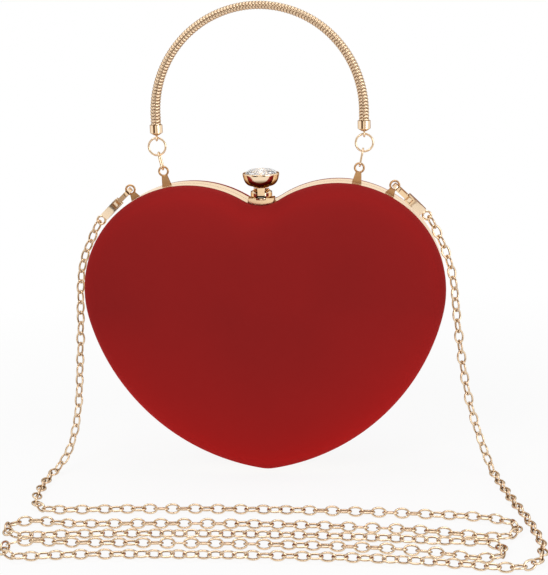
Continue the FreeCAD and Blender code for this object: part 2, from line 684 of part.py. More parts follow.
def arch_place(along):
    """A point of the handle's centreline and its direction, so far along from the left leg's end."""
    leg = read("handle_leg + cap_socket")
    radius = read("arch_radius")
    bend = math.pi * radius
    if along < leg:
        return Vector(-radius, 0, ARCH_CENTRE_Z - leg + along), Vector(0, 0, 1)
    if along > leg + bend:
        return Vector(radius, 0, ARCH_CENTRE_Z - (along - leg - bend)), Vector(0, 0, -1)
    turn = (along - leg) / radius
    spot = Vector(-radius * math.cos(turn), 0, ARCH_CENTRE_Z + radius * math.sin(turn))
    return spot, Vector(math.sin(turn), 0, math.cos(turn))


def make_snake():
    """Ribs along the arch: each a valley, two crests and a valley, joined by straight flanks."""
    whole = math.pi * read("arch_radius") + 2 * read("handle_leg + cap_socket")
    count = round(whole / read("snake_rib_pitch"))
    pitch = whole / count
    crest, valley = read("snake_radius"), read("snake_radius - snake_groove")
    rib_shares = ((0.06, valley), (0.28, crest), (0.72, crest), (0.94, valley))
    rings = []
    for rib in range(count):
        for share, radius in rib_shares:
            spot, ahead = arch_place((rib + share) * pitch)
            ring = Part.Circle(spot, ahead, radius)
            ring.XAxis = IN_PLANE
            rings.append(Part.Wire([ring.toShape()]))
    keep("handle_snake", solid_feature("snake_chain", Part.makeLoft(rings, True, True)))


def make_cap(word, side):
    """A turned end cap: a socket for the snake chain, a rounded nose and an eye below it."""
    place = Placement(Vector(side * read("arch_radius"), 0, LEG_END_Z), Rotation())
    body = new_body(f"cap_turned_{word}", place)
    bore = "snake_radius + seat_gap"
    outside = f"{bore} + cap_wall"
    corners = (
        (bore, "0"), (outside, "0"), (outside, "cap_nose - cap_length"), ("cap_eye_radius", "0 - cap_length"),
        ("0", "0 - cap_length"), ("0", "0 - cap_socket - seat_gap"), (bore, "0 - cap_socket - seat_gap"),
    )
    revolve(body, f"cap_turn_{word}", outline_sketch(body, f"cap_profile_{word}", "XZ_Plane", corners))
    eye = primitive("Torus", f"cap_eye_{word}", Radius1="cap_eye_radius", Radius2="cap_eye_wire")
    eye.Placement = Placement(Vector(place.Base.x, 0, CAP_EYE_Z), ALONG_X)
    keep(f"handle_cap_{word}", boolean("Fuse", f"cap_whole_{word}", body, eye))


def make_ring_and_link(word, side):
    """The round ring in a cap's eye, and the oval link from that ring to the tab's eye."""
    ring_centre = Vector(side * read("arch_radius"), 0, RING_Z)
    ring = primitive("Torus", f"ring_{word}", Radius1="ring_radius", Radius2="ring_wire")
    ring.Placement = Placement(ring_centre, ALONG_Y)
    keep(f"handle_ring_{word}", ring)
    eye = tab_eye(side, "handle_tab_angle", "handle_tab_reach")
    pull = (ring_centre - eye).normalize()
    wire_room = read("handle_link_wire + hanging_gap")
    low = eye + pull * (read("eye_radius - eye_wire") - wire_room)
    high = ring_centre - pull * (read("ring_radius - ring_wire") - wire_room)
    shape = oval_link((high - low).Length, read("handle_link_width"), read("handle_link_wire"))
    edge_on = Rotation(Vector(0, 0, 1), 90)
    lean = Rotation(Vector(0, 0, 1), pull)
    place = Placement((low + high) / 2, lean * edge_on)
    keep(f"handle_link_{word}", solid_feature(f"link_{word}", shape, place))


make_snake()
for word, side in SIDES.items():
    make_cap(word, side)
    make_ring_and_link(word, side)


# The strap's hooks: a claw through the tab's eye, a sprung gate, and a swivel eye for the chain.

def hook_place(side):
    """The hook's frame: local X runs from the tab's eye to the chain, local Y stays the purse's Y."""
    ahead = Rotation(Vector(0, 1, 0), read("hook_lean") if side > 0 else 180 - read("hook_lean"))
    return Placement(tab_eye(side, "strap_tab_angle", "strap_tab_reach"), ahead)


def hook_plate(outline, plate):
    """A flat piece cut from an outline in the hook's own plane."""
    face = Part.Face(Part.Wire(outline))
    lift = Vector(0, 0, -plate / 2)
    face.translate(lift)
    return face.extrude(lift * -2)


def runs(points):
    return [Part.LineSegment(first, second).toShape() for first, second in zip(points, points[1:])]


def make_hook(word, side):
    place = hook_place(side)
    bar = read("hook_bar")
    centre = read("hook_head_radius")
    outer, inner = centre + bar / 2, centre - bar / 2
    eye_end = read("hook_eye_end")
    shoulder, end, neck = read("hook_shoulder"), read("hook_length"), read("hook_neck")
    start = read("hook_body_start")
    cheeks = [Vector(centre, outer, 0), Vector(centre, -outer, 0)]
    head = [Part.Arc(cheeks[0], Vector(centre - outer, 0, 0), cheeks[1]).toShape()]
    taper = [Vector(shoulder, -outer, 0), Vector(end, -neck, 0)]
    taper = taper + [Vector(end, neck, 0), Vector(shoulder, outer, 0)]
    tail = [cheeks[1], *taper, cheeks[0]]
    claw = hook_plate(head + runs(tail), read("hook_bar_plate"))
    bulk_points = [Vector(start, -outer, 0), *taper, Vector(start, outer, 0), Vector(start, -outer, 0)]
    claw = claw.fuse(hook_plate(runs(bulk_points), read("hook_body_plate")))
    mouth_ends = [Vector(centre, -inner, 0), Vector(eye_end - inner, -inner, 0)]
    room_edges = [
        Part.Arc(Vector(centre, inner, 0), Vector(centre - inner, 0, 0), mouth_ends[0]).toShape(),
        Part.LineSegment(*mouth_ends).toShape(),
        Part.Arc(mouth_ends[1], Vector(eye_end, 0, 0), Vector(eye_end - inner, inner, 0)).toShape(),
        Part.LineSegment(Vector(eye_end - inner, inner, 0), Vector(centre, inner, 0)).toShape(),
    ]
    deep = read("2 * hook_body_plate")
    claw = claw.cut(hook_plate(room_edges, deep))
    gap, pivot = read("gate_gap"), read("gate_pivot")
    slot_start, slot_step = read("gate_start - gate_gap"), read("gate_pivot - gate_relief")
    slot_points = [Vector(slot_start, -outer - bar, 0), Vector(pivot + bar, -outer - bar, 0),
                   Vector(pivot + bar, -inner + gap, 0), Vector(slot_step, -inner + gap, 0),
                   Vector(slot_step, 0, 0), Vector(slot_start, 0, 0), Vector(slot_start, -outer - bar, 0)]
    slot = hook_plate(runs(slot_points), read("hook_bar_plate + 2 * gate_gap"))
    claw = claw.cut(slot)
    pin_at = Vector(pivot, -centre, 0)
    pin_drop = Vector(0, 0, -read("hook_body_plate") / 2)
    pin_radius = read("gate_pin_radius")
    claw = claw.cut(Part.makeCylinder(pin_radius, read("hook_body_plate"), pin_at + pin_drop))
    post_radius, depth = read("swivel_post_radius"), read("swivel_post_depth")
    head_plate = read("swivel_head")
    play = read("hinge_play")
    ahead = Vector(1, 0, 0)
    post_start = Vector(end - depth, 0, 0)
    claw = claw.cut(Part.makeCylinder(post_radius + play, depth, post_start, ahead))
    head_radius = post_radius + bar / 4
    room_start = post_start - ahead * play
    claw = claw.cut(Part.makeCylinder(head_radius + play, head_plate + 2 * play, room_start, ahead))
    keep(f"strap_hook_{word}", solid_feature(f"hook_{word}", claw, place))
    gate_points = [Vector(read("gate_start"), -outer, 0), Vector(pivot - bar, -outer, 0),
                   Vector(pivot - bar / 2, -outer - read("gate_thumb"), 0), Vector(pivot + bar / 2, -outer, 0),
                   Vector(pivot + bar / 2, -inner - gap, 0), Vector(read("gate_start"), -inner - gap, 0),
                   Vector(read("gate_start"), -outer, 0)]
    gate = hook_plate(runs(gate_points), read("hook_bar_plate"))
    gate_bore = Part.makeCylinder(pin_radius + play, deep, pin_at - Vector(0, 0, deep / 2))
    keep(f"strap_gate_{word}", solid_feature(f"gate_{word}", gate.cut(gate_bore), place))
    pin = Part.makeCylinder(pin_radius, read("hook_body_plate"), pin_at + pin_drop)
    keep(f"strap_gate_pin_{word}", solid_feature(f"gate_pin_{word}", pin, place))
    post = Part.makeCylinder(post_radius, depth + read("swivel_eye_wire"), post_start, ahead)
    post = post.fuse(Part.makeCylinder(head_radius, head_plate, post_start, ahead))
    eye_radius, eye_wire = read("swivel_eye_radius"), read("swivel_eye_wire")
    eye_at = Vector(end + eye_radius + eye_wire, 0, 0)
    post = post.fuse(Part.makeTorus(eye_radius, eye_wire, eye_at, Vector(0, 1, 0)))
    keep(f"strap_swivel_{word}", solid_feature(f"swivel_{word}", post.removeSplitter(), place))
    return place.multVec(eye_at + ahead * eye_radius)


chain_ends = {word: make_hook(word, side) for word, side in SIDES.items()}


# The strap: interlocked wire links along the route.

def smooth_route(points):
    """The route as closely spaced points of a quadratic spline that is drawn by its control points."""
    spans = len(points) - 2
    ends = 3
    counts = [ends] + [1] * (spans - 1) + [ends]
    curve = Part.BSplineCurve()
    curve.buildFromPolesMultsKnots(points, counts, list(range(spans + 1)), False, 2)
    return curve.toShape().discretize(Distance=read("route_step"))


def equal_steps(points, step):
    """Joints a straight step apart along closely spaced points."""
    joints = [points[0]]
    for before, after in zip(points, points[1:]):
        while (after - joints[-1]).Length >= step:
            inside, outside = before, after
            for _ in range(30):
                middle = (inside + outside) / 2
                if (middle - joints[-1]).Length < step:
                    inside = middle
                else:
                    outside = middle
            joints.append(outside)
    return joints


def chain_joints(points, nominal):
    """Joints from end to end, with the step eased until an odd count of links ends on the route's end."""
    count = len(equal_steps(points, nominal))
    if count % 2 == 0:
        count = count + 1
    short, long = nominal * (count - 1) / (count + 1), nominal
    for _ in range(40):
        step = (short + long) / 2
        joints = equal_steps(points, step)
        if len(joints) > count:
            short = step
        else:
            long = step
    joints = equal_steps(points, short)[:count]
    return joints + [points[-1]], short


def make_strap():
    wire = read("link_wire")
    pitch = read("link_length - 2 * link_wire - link_gap")
    crossing = wire + read("link_gap") / 2
    ends = [chain_ends["left"], *(Vector(*spot) for spot in CHAIN_ROUTE), chain_ends["right"]]
    ends[0] = ends[0] - (ends[1] - ends[0]).normalize() * crossing
    ends[-1] = ends[-1] - (ends[-2] - ends[-1]).normalize() * crossing
    joints, step = chain_joints(smooth_route(ends), pitch)
    link = oval_link(read("link_length"), read("link_width"), wire)
    limits = []
    for name, last in CHAIN_NODE_ENDS.items():
        spot = Vector(*CHAIN_ROUTE[last])
        limits.append((name, min(range(len(joints)), key=lambda k: (joints[k] - spot).Length)))
    limits[-1] = (limits[-1][0], len(joints) - 1)
    runs_ahead = [(second - first).normalize() for first, second in zip(joints, joints[1:])]
    across = Vector(0, 1, 0)
    squares = []
    for ahead in runs_ahead:
        across = (across - ahead * across.dot(ahead)).normalize()
        squares.append(across)
    wanted = Vector(0, 1, 0) if across.y > 0 else Vector(0, -1, 0)
    ahead = runs_ahead[-1]
    wanted = (wanted - ahead * wanted.dot(ahead)).normalize()
    twist = math.degrees(math.atan2(across.cross(wanted).dot(ahead), across.dot(wanted)))
    links = []
    for index, (ahead, across) in enumerate(zip(runs_ahead, squares)):
        quarter = 90 if index % 2 else 0
        across = Rotation(ahead, quarter + twist * index / (len(squares) - 1)).multVec(across)
        thin = across.cross(ahead)
        turn = FreeCAD.Matrix(across.x, -thin.x, ahead.x, 0, across.y, -thin.y, ahead.y, 0,
                              across.z, -thin.z, ahead.z, 0, 0, 0, 0, 1)
        one = link.copy()
        one.Placement = Placement((joints[index] + joints[index + 1]) / 2, Rotation(turn))
        links.append(one)
    turns = [math.degrees(before.getAngle(after)) for before, after in zip(runs_ahead, runs_ahead[1:])]
    gaps = [before.distToShape(after)[0] for before, after in zip(links, links[1:])]
    print("strap: %d links, step %.3f mm of %.3f, chain length %.1f mm" % (len(links), step, pitch, step * len(links)))
    print("strap: sharpest joint %.1f degrees, least gap %.3f mm, twist %.1f degrees" % (max(turns), min(gaps), twist))
    start = 0
    for name, end in limits:
        keep(name, solid_feature(f"{name}_links", Part.makeCompound(links[start:end])))
        start = end


make_strap()
doc.recompute()

faults = [made.Label for made in doc.Objects if {"Invalid", "Error"} & set(made.State)]
for label, made in nodes.items():
    if made.Shape.isNull() or not made.Shape.isValid() or not made.Shape.Solids:
        faults.append(f"{label} has no valid solid")
if faults:
    raise RuntimeError("these objects failed: " + ", ".join(faults))

os.makedirs("parts", exist_ok=True)
for label, made in nodes.items():
    made.Shape.exportStep(os.path.join("parts", f"{label}.step"))
print("wrote %d nodes, %d solids" % (len(nodes), sum(len(made.Shape.Solids) for made in nodes.values())))
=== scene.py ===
"""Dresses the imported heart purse: velvet domes, linings, snake-chain handle, jewelled clasp and link strap.

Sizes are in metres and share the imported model's frame: X to the right, Y to the rear, Z up.
"""
import math

import bmesh
import bpy
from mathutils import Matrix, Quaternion, Vector


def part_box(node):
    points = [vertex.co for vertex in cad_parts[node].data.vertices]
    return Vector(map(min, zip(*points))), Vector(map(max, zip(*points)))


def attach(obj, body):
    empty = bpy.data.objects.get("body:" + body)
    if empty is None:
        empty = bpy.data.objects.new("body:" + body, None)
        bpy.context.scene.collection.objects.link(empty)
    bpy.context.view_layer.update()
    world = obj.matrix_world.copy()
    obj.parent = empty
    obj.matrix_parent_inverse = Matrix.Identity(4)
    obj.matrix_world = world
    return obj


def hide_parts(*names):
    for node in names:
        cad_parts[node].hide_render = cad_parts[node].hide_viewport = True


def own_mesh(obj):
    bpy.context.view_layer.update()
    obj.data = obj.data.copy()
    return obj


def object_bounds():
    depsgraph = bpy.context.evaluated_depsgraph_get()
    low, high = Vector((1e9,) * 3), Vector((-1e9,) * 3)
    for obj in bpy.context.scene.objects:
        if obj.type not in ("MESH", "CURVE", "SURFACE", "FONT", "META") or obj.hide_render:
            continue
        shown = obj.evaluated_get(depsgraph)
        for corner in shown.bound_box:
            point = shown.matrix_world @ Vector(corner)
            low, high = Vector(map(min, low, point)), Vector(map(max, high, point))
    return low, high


bl_info = {
    "name": "Heart purse dressing",
    "version": (1, 0, 0),
    "blender": (4, 5, 0),
    "location": "3D View > Sidebar > Heart Purse",
    "description": "Builds the visible pieces of a heart-shaped purse round its packed model",
    "category": "Add Mesh",
}

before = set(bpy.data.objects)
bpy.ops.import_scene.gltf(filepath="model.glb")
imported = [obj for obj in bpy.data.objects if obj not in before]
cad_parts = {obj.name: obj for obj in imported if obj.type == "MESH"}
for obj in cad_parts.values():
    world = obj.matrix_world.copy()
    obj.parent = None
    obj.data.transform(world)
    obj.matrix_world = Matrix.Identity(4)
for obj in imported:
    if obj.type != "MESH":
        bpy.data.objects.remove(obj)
CAD_LOW, CAD_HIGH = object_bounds()
MM = 0.001
PHOTO_WIDTH, PHOTO_HEIGHT = 548, 575
WHITE = (1.0, 1.0, 1.0)
# Point attribute that carries the gilt's painted shade, from 0 to 1.
PAINTED_SHADE_ATTRIBUTE = "hollow"

# Where the domes' rims, the lobes' tops and the plane between the halves lie.
FRONT_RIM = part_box("front_velvet")[1].y
REAR_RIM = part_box("rear_velvet")[0].y
LOBE_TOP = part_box("front_velvet")[1].z
PARTING = (FRONT_RIM + REAR_RIM) / 2

# Depths of the finishes' fine relief.
VELVET_RELIEF = 0.00015
GILT_RELIEF = 0.00005
SATIN_RELIEF = 0.0001
BOARD_RELIEF = 0.0001
STEEL_RELIEF = 0.00005

# The strap's control points in millimetres, from the left swivel's eye to the right one's.
# The floor line is the height of the strap's middle on the table, and the rows lie at that height.
FLOOR_LINE = -228.9
LEFT_EYE = (-81.93, 0.0, -100.68)
RIGHT_EYE = (81.93, 0.0, -100.68)
LEFT_FALL = (
    (-89.5, 0.0, -115.0), (-92.6, 0.0, -125.0), (-93.9, 0.0, -138.0), (-94.8, 0.0, -156.0),
    (-96.6, -1.0, -179.0), (-98.2, -2.0, -198.6), (-102.5, -2.0, -216.6), (-108.0, -5.0, -227.0),
    (-112.0, -18.0, FLOOR_LINE), (-111.5, -38.0, FLOOR_LINE), (-110.0, -56.0, FLOOR_LINE),
    (-102.0, -65.0, FLOOR_LINE),
)
FLOOR_ROWS = (
    (-85, -64), (-50, -62), (0, -62), (50, -64), (88, -67.5), (106, -69.5), (118, -75), (121, -85.5),
    (113.5, -94.3), (100, -92), (82, -87), (60, -84), (0, -80), (-60, -81), (-86, -82.5), (-98, -79),
    (-109.5, -78), (-116, -87), (-110.5, -96.5), (-99, -96.3), (-86, -94.3), (-60, -93), (0, -92), (60, -95),
    (85, -98.5), (97, -98.3), (108.5, -99.5), (113.5, -108.5), (108, -117.5), (97, -116.5), (85, -111.5),
    (60, -106.5), (0, -103.5), (-60, -103.8), (-82, -104.3), (-94, -102.6), (-105.5, -102.3), (-111, -111),
    (-105.5, -120), (-94, -120.2), (-82, -118), (-60, -116.3), (0, -116), (60, -118), (96, -123.5),
    (116, -128), (127, -120),
)
RIGHT_FALL = (
    (129.5, -104.0, FLOOR_LINE), (128.0, -90.0, FLOOR_LINE), (125.0, -70.0, FLOOR_LINE),
    (120.0, -48.0, FLOOR_LINE), (116.0, -25.0, FLOOR_LINE), (113.0, -8.0, FLOOR_LINE), (110.0, -2.0, -222.0),
    (104.5, 0.0, -206.0), (100.0, 0.0, -187.5), (96.8, 0.0, -164.5), (94.9, 0.0, -146.0),
    (93.9, 0.0, -131.6), (89.5, 0.0, -115.0),
)
STRAP_NODES = ("strap_chain_left", "strap_chain_row_1", "strap_chain_row_2", "strap_chain_row_3",
               "strap_chain_row_4", "strap_chain_row_5", "strap_chain_right")
GILT_NODES = ("clasp_base", "clasp_lever", "clasp_catch", "front_hinge_leaf", "rear_hinge_leaf",
              "handle_cap_left", "handle_cap_right", "handle_ring_left", "handle_ring_right",
              "handle_link_left", "handle_link_right", "strap_hook_left", "strap_hook_right",
              "strap_swivel_left", "strap_swivel_right")
GATE_NODES = ("strap_gate_left", "strap_gate_right")
TAB_NODES = ("handle_tab_left", "handle_tab_right", "strap_tab_left", "strap_tab_right")
BAND_NODES = ("front_frame", "rear_frame")
SHELL_NODES = ("front_shell", "rear_shell")
STEEL_NODES = ("hinge_pin", "clasp_pin", "strap_gate_pin_left", "strap_gate_pin_right")


def length(name, text, default):
    return bpy.props.FloatProperty(name=name, description=text, default=default, unit="LENGTH", precision=5)


def area(name, text, default):
    return bpy.props.FloatProperty(name=name, description=text, default=default, unit="AREA", precision=5)


def angle(name, text, degrees):
    return bpy.props.FloatProperty(name=name, description=text, default=math.radians(degrees),
                                   subtype="ANGLE")


def share(name, text, default):
    return bpy.props.FloatProperty(name=name, description=text, default=default, min=0.0, max=1.0)


def colour(name, text, default):
    return bpy.props.FloatVectorProperty(name=name, description=text, default=default, subtype="COLOR",
                                         min=0.0, max=1.0, size=3)


def count(name, text, default):
    return bpy.props.IntProperty(name=name, description=text, default=default, min=1)


class HeartSizes(bpy.types.PropertyGroup):
    """The heart's outline and its layers."""
    half_width: length("Half width", "Half of the heart's width at its rim", 0.090)
    height: length("Height", "From the lobes' tops to the tip", 0.1455)
    lobe_radius: length("Lobe radius", "Radius of the two lobes", 0.0533)
    flank_radius: length("Flank radius", "Radius of the two sides", 0.106)
    tip_radius: length("Tip radius", "Radius of the tip", 0.018)
    notch_radius: length("Notch radius", "Radius of the notch", 0.0165)
    crown: length("Crown height", "Height of the dome's middle above the tip", 0.085)
    depth: length("Dome depth", "How far a dome stands out from its rim", 0.021)
    bulge: bpy.props.FloatProperty(name="Bulge", description="How square the dome's section is", default=2.8)
    pile: length("Velvet", "Thickness of the velvet's solid", 0.0008)
    pile_share: share("Velvet share", "Share of that thickness that the cover fills", 0.9)
    roll: length("Rolled rim", "Radius of the velvet's rolled rim", 0.0005)
    rear_tuck: share("Rear tuck", "Share of its size that the rear cover keeps, behind its frame", 0.9965)
    rim_shade: length("Rim shade", "Width of the shaded line where the velvet meets its frame", 0.0038)
    lining_depth: length("Lining depth", "How far the lining lies below the velvet's skin", 0.0026)
    lining: length("Lining", "Thickness of the lining's solid", 0.0006)
    lining_share: share("Lining share", "Share of that thickness that the satin fills", 0.6)
    gather: length("Gather", "Height of the lining's gathers at its rim", 0.00022)
    gathers: count("Gathers", "Gathers round the lining's rim", 96)
    cover_width: length("Cover width", "Width of the velvet's flat cut", 0.199)
    cover_height: length("Cover height", "Height of the velvet's flat cut", 0.175)
    cover_area: area("Cover area", "Area of the velvet's flat cut", 0.0252)
    lining_width: length("Lining width", "Width of the lining's flat cut", 0.197)
    lining_height: length("Lining height", "Height of the lining's flat cut", 0.173)
    lining_area: area("Lining area", "Area of the lining's flat cut", 0.0240)


class HandleSizes(bpy.types.PropertyGroup):
    """The snake-chain handle."""
    arch: length("Arch radius", "Radius of the arch's middle line", 0.0508)
    radius: length("Radius", "Outside radius of the snake chain", 0.0025)
    groove: length("Groove", "Depth of the grooves between scales", 0.00055)
    pitch: length("Pitch", "Length of one scale", 0.00155)
    wave: length("Wave", "How far the scales' points stand out along the chain", 0.00052)
    leg: length("Leg", "Straight length below the arch, with the part in the cap", 0.0083)
    columns: count("Columns", "Rows of scales round the chain", 6)
    apex_share: share("Apex", "Thickness at the apex as a share of the thickness at the caps", 0.80)


class ClaspSizes(bpy.types.PropertyGroup):
    """The clasp's stone and spring."""
    facets: count("Facets", "Main facets round the stone", 8)
    spring_leaf: length("Spring leaf", "Thickness of the leaf spring", 0.00025)
    spring_foot: length("Spring foot", "Flat length at the front of the leaf spring", 0.001)
    spring_keep: share("Spring keep", "Share of the spring's height that is left with the clasp open", 0.68)


class ChainSizes(bpy.types.PropertyGroup):
    """The strap's links."""
    link_length: length("Link length", "Length of a link's middle line", 0.0067)
    link_width: length("Link width", "Width of a link's middle line", 0.0042)
    wire: length("Wire radius", "Radius of a link's wire", 0.0005)
    step: length("Step", "Distance from joint to joint with the links pulled out", 0.00545)
    roll: angle("Roll", "How far the links lean from square", 32.0)
    sway: angle("Sway", "How far the lean wanders along the strap", 15.0)


class FittingSizes(bpy.types.PropertyGroup):
    """Edges and seams of the metal fittings."""
    edge: length("Edge", "How far a fitting's sharp edges are rounded", 0.00016)
    parting_seam: length("Parting seam", "Width of the shaded line between the two frames", 0.0007)
    rim_seam: length("Rim seam", "Width of the shaded line between a frame and its velvet", 0.0006)


class Finishes(bpy.types.PropertyGroup):
    """Colours of the purse and its table."""
    velvet: colour("Velvet", "Main colour of the velvet", (0.235, 0.0095, 0.0090))
    velvet_light: colour("Velvet, brushed", "Colour where the pile is brushed up", (0.290, 0.0105, 0.0100))
    # Painted sheen: a lighter red laid on the domes' sides and underneath.
    velvet_painted_sheen: colour("Velvet, turned", "Colour on the turned sides", (0.45, 0.0085, 0.0080))
    velvet_sheen: share("Velvet sheen", "Strength of the pile's sheen", 0.45)
    velvet_nap: colour("Velvet, sheen", "Colour of the pile's sheen", (1.0, 0.05, 0.045))
    gilt: colour("Gilt", "Pale gold plating", (0.94, 0.74, 0.52))
    # Used under finger marks, and as painted shade in hollows and along seams.
    gilt_marks_and_painted_shade: colour("Gilt, deep", "Gold in hollows and along seams", (0.17, 0.075, 0.026))
    gilt_edge: colour("Gilt, edge", "Gold seen along its surface", (0.26, 0.11, 0.04))
    strap_edge: colour("Strap, edge", "The strap's wire seen along its surface", (0.09, 0.035, 0.012))
    band_edge: colour("Band, edge", "The frames' band seen along its surface", (1.0, 0.90, 0.78))
    # A darker copy of the gilt: painted shade for the dull reflection of the flat tabs.
    tab_painted_shade_gilt: colour("Tab gilt", "Flat tabs", (0.62, 0.38, 0.19))
    lining: colour("Lining", "Satin lining", (0.10, 0.006, 0.008))
    lining_nap: colour("Lining, sheen", "Colour of the satin's sheen", (0.9, 0.12, 0.14))
    shell: colour("Shell", "Moulded inner shell", (0.05, 0.045, 0.045))
    steel: colour("Steel", "Pins and springs", (0.56, 0.56, 0.58))
    stone: colour("Stone", "Cut stone", (0.97, 0.97, 0.98))
    table: colour("Table", "Pale table", (0.94, 0.94, 0.94))


class PurseSettings(bpy.types.PropertyGroup):
    """All settings of the purse."""
    heart: bpy.props.PointerProperty(type=HeartSizes)
    handle: bpy.props.PointerProperty(type=HandleSizes)
    clasp: bpy.props.PointerProperty(type=ClaspSizes)
    chain: bpy.props.PointerProperty(type=ChainSizes)
    fittings: bpy.props.PointerProperty(type=FittingSizes)
    finishes: bpy.props.PointerProperty(type=Finishes)


def settings():
    return bpy.context.scene.heart_purse


class Socket:
    """A value on its way through a shader: arithmetic on it adds Math nodes."""

    def __init__(self, finish, link):
        self.finish = finish
        self.link = link

    def maths(self, operation, first, second):
        return self.finish.add("ShaderNodeMath", {"operation": operation}, {0: first, 1: second})

    def __add__(self, other):
        return self.maths("ADD", self, other)

    def __radd__(self, other):
        return self.maths("ADD", other, self)

    def __sub__(self, other):
        return self.maths("SUBTRACT", self, other)

    def __rsub__(self, other):
        return self.maths("SUBTRACT", other, self)

    def __mul__(self, other):
        return self.maths("MULTIPLY", self, other)

    def __rmul__(self, other):
        return self.maths("MULTIPLY", other, self)

    def __abs__(self):
        return self.maths("ABSOLUTE", self, 0.0)

    def most(self, other):
        return self.maths("MAXIMUM", self, other)


class Finish:
    """A material, or the world's shading, under construction."""

    def __init__(self, name, owner=None):
        self.material = owner or bpy.data.materials.new(name)
        self.material.use_nodes = True
        self.tree = self.material.node_tree
        self.tree.nodes.clear()

    def add(self, kind, options=None, inputs=None, output=0):
        """Adds a node: its settings first, then the values or links of its sockets."""
        node = self.tree.nodes.new(kind)
        for name, value in (options or {}).items():
            if name == "stops":
                ramp = node.color_ramp.elements
                while len(ramp) < len(value):
                    ramp.new(1.0)
                for stop, (place, tone) in zip(ramp, value):
                    stop.position = place
                    stop.color = (*tone, 1.0)
            else:
                setattr(node, name, value)
        for name, value in (inputs or {}).items():
            if isinstance(value, Socket):
                self.tree.links.new(value.link, node.inputs[name])
            else:
                node.inputs[name].default_value = value
        return Socket(self, node.outputs[output]) if len(node.outputs) else None

    def place(self):
        return self.add("ShaderNodeTexCoord", output="Object")

    def away(self):
        """Distance across a flat sheet from the middle of it, whatever its height."""
        flat = (1.0, 1.0, 0.0)
        across = self.add("ShaderNodeVectorMath", {"operation": "MULTIPLY"}, {0: self.place(), 1: flat})
        return self.add("ShaderNodeVectorMath", {"operation": "LENGTH"}, {0: across}, output="Value")

    def part(self, vector, axis):
        return self.add("ShaderNodeSeparateXYZ", {}, {"Vector": vector}, output=axis)

    def noise(self, scale, detail=2.0, stretch=None):
        where = self.place()
        if stretch:
            where = self.add("ShaderNodeMapping", {}, {"Vector": where, "Scale": stretch})
        return self.add("ShaderNodeTexNoise", {}, {"Vector": where, "Scale": scale, "Detail": detail})

    def mix(self, amount, first, second):
        """A blend of two colours."""
        first = first if isinstance(first, Socket) else (*first, 1.0)
        second = second if isinstance(second, Socket) else (*second, 1.0)
        return self.add("ShaderNodeMix", {"data_type": "RGBA"}, {0: amount, 6: first, 7: second}, output=2)

    def clamp(self, value, low, high):
        """Rises from 0 to 1 as a value goes from low to high."""
        return self.add("ShaderNodeMapRange", {"clamp": True},
                        {"Value": value, "From Min": low, "From Max": high})

    def lines(self, depths, width):
        """A soft line round the purse at each depth from front to rear."""
        core_share = 0.25
        depth = self.part(self.place(), "Y")
        mask = 0.0
        for each in depths:
            near = 1.0 - self.clamp(abs(depth - each), low=width * core_share, high=width)
            mask = near.most(mask)
        return mask

    def direct_rays(self):
        """1 for what is seen straight, mirrored or through glass, and 0 for light that falls on things."""
        mask = 0.0
        for kind in ("Is Camera Ray", "Is Glossy Ray", "Is Transmission Ray"):
            mask = self.add("ShaderNodeLightPath", output=kind).most(mask)
        return mask

    def bump(self, height, strength, relief):
        return self.add("ShaderNodeBump", {}, {"Height": height, "Strength": strength, "Distance": relief})

    def glow(self, tone):
        return self.add("ShaderNodeEmission", {}, {"Color": tone, "Strength": 1.0})

    def close(self, shader):
        """Leads a shader to the material's output."""
        self.add("ShaderNodeOutputMaterial", {}, {"Surface": shader})
        return self.material

    def surface(self, **inputs):
        """Closes the material with a Principled shader."""
        named = {name.replace("_", " "): value for name, value in inputs.items()}
        return self.close(self.add("ShaderNodeBsdfPrincipled", {}, named))


def tinted(tone, strength):
    """A colour made lighter or darker."""
    return tuple(min(1.0, part * strength) for part in tone)


def velvet_finish(name, tones):
    """Short pile: fine fibres, brushed patches, painted sheen as a clearer red on the sides and underneath,
    and a painted shade line at its rim.
    """
    brushed_share, fibre_share, grain_share = 0.55, 0.3, 0.1
    painted_sheen_side_share, rim_share = 0.22, 0.7
    finish = Finish(name)
    fibres = finish.noise(scale=2600.0, detail=3.0)
    patches = finish.noise(scale=16.0, detail=3.0)
    grain = finish.noise(scale=420.0)
    brushed = finish.clamp(patches, low=0.30, high=0.72)
    nap = brushed * brushed_share + fibres * fibre_share + grain * grain_share
    tone = finish.mix(nap, tones.velvet, tones.velvet_light)
    # Painted sheen: faces seen edge-on and faces turned downwards get a lighter, clearer red.
    facing = finish.add("ShaderNodeTexCoord", output="Normal")
    sides = finish.clamp(1.0 - abs(finish.part(facing, "Y")), low=0.0, high=0.22)
    below = finish.clamp(0.0 - finish.part(facing, "Z"), low=0.0, high=0.55)
    tone = finish.mix(below.most(sides * painted_sheen_side_share), tone, tones.velvet_painted_sheen)
    # Painted shade: a dark line along each rim, where the velvet meets its frame.
    rim = finish.lines((FRONT_RIM, REAR_RIM), settings().heart.rim_shade)
    tone = finish.mix(rim * rim_share, tone, tinted(tones.velvet, strength=0.12))
    pile = finish.bump(fibres * 0.7 + grain * 0.5, strength=0.35, relief=VELVET_RELIEF)
    return finish.surface(
        Base_Color=tone, Roughness=0.80 + fibres * 0.15, Normal=pile, Sheen_Weight=tones.velvet_sheen,
        Sheen_Roughness=0.35, Sheen_Tint=(*tones.velvet_nap, 1.0), Specular_IOR_Level=0.12)


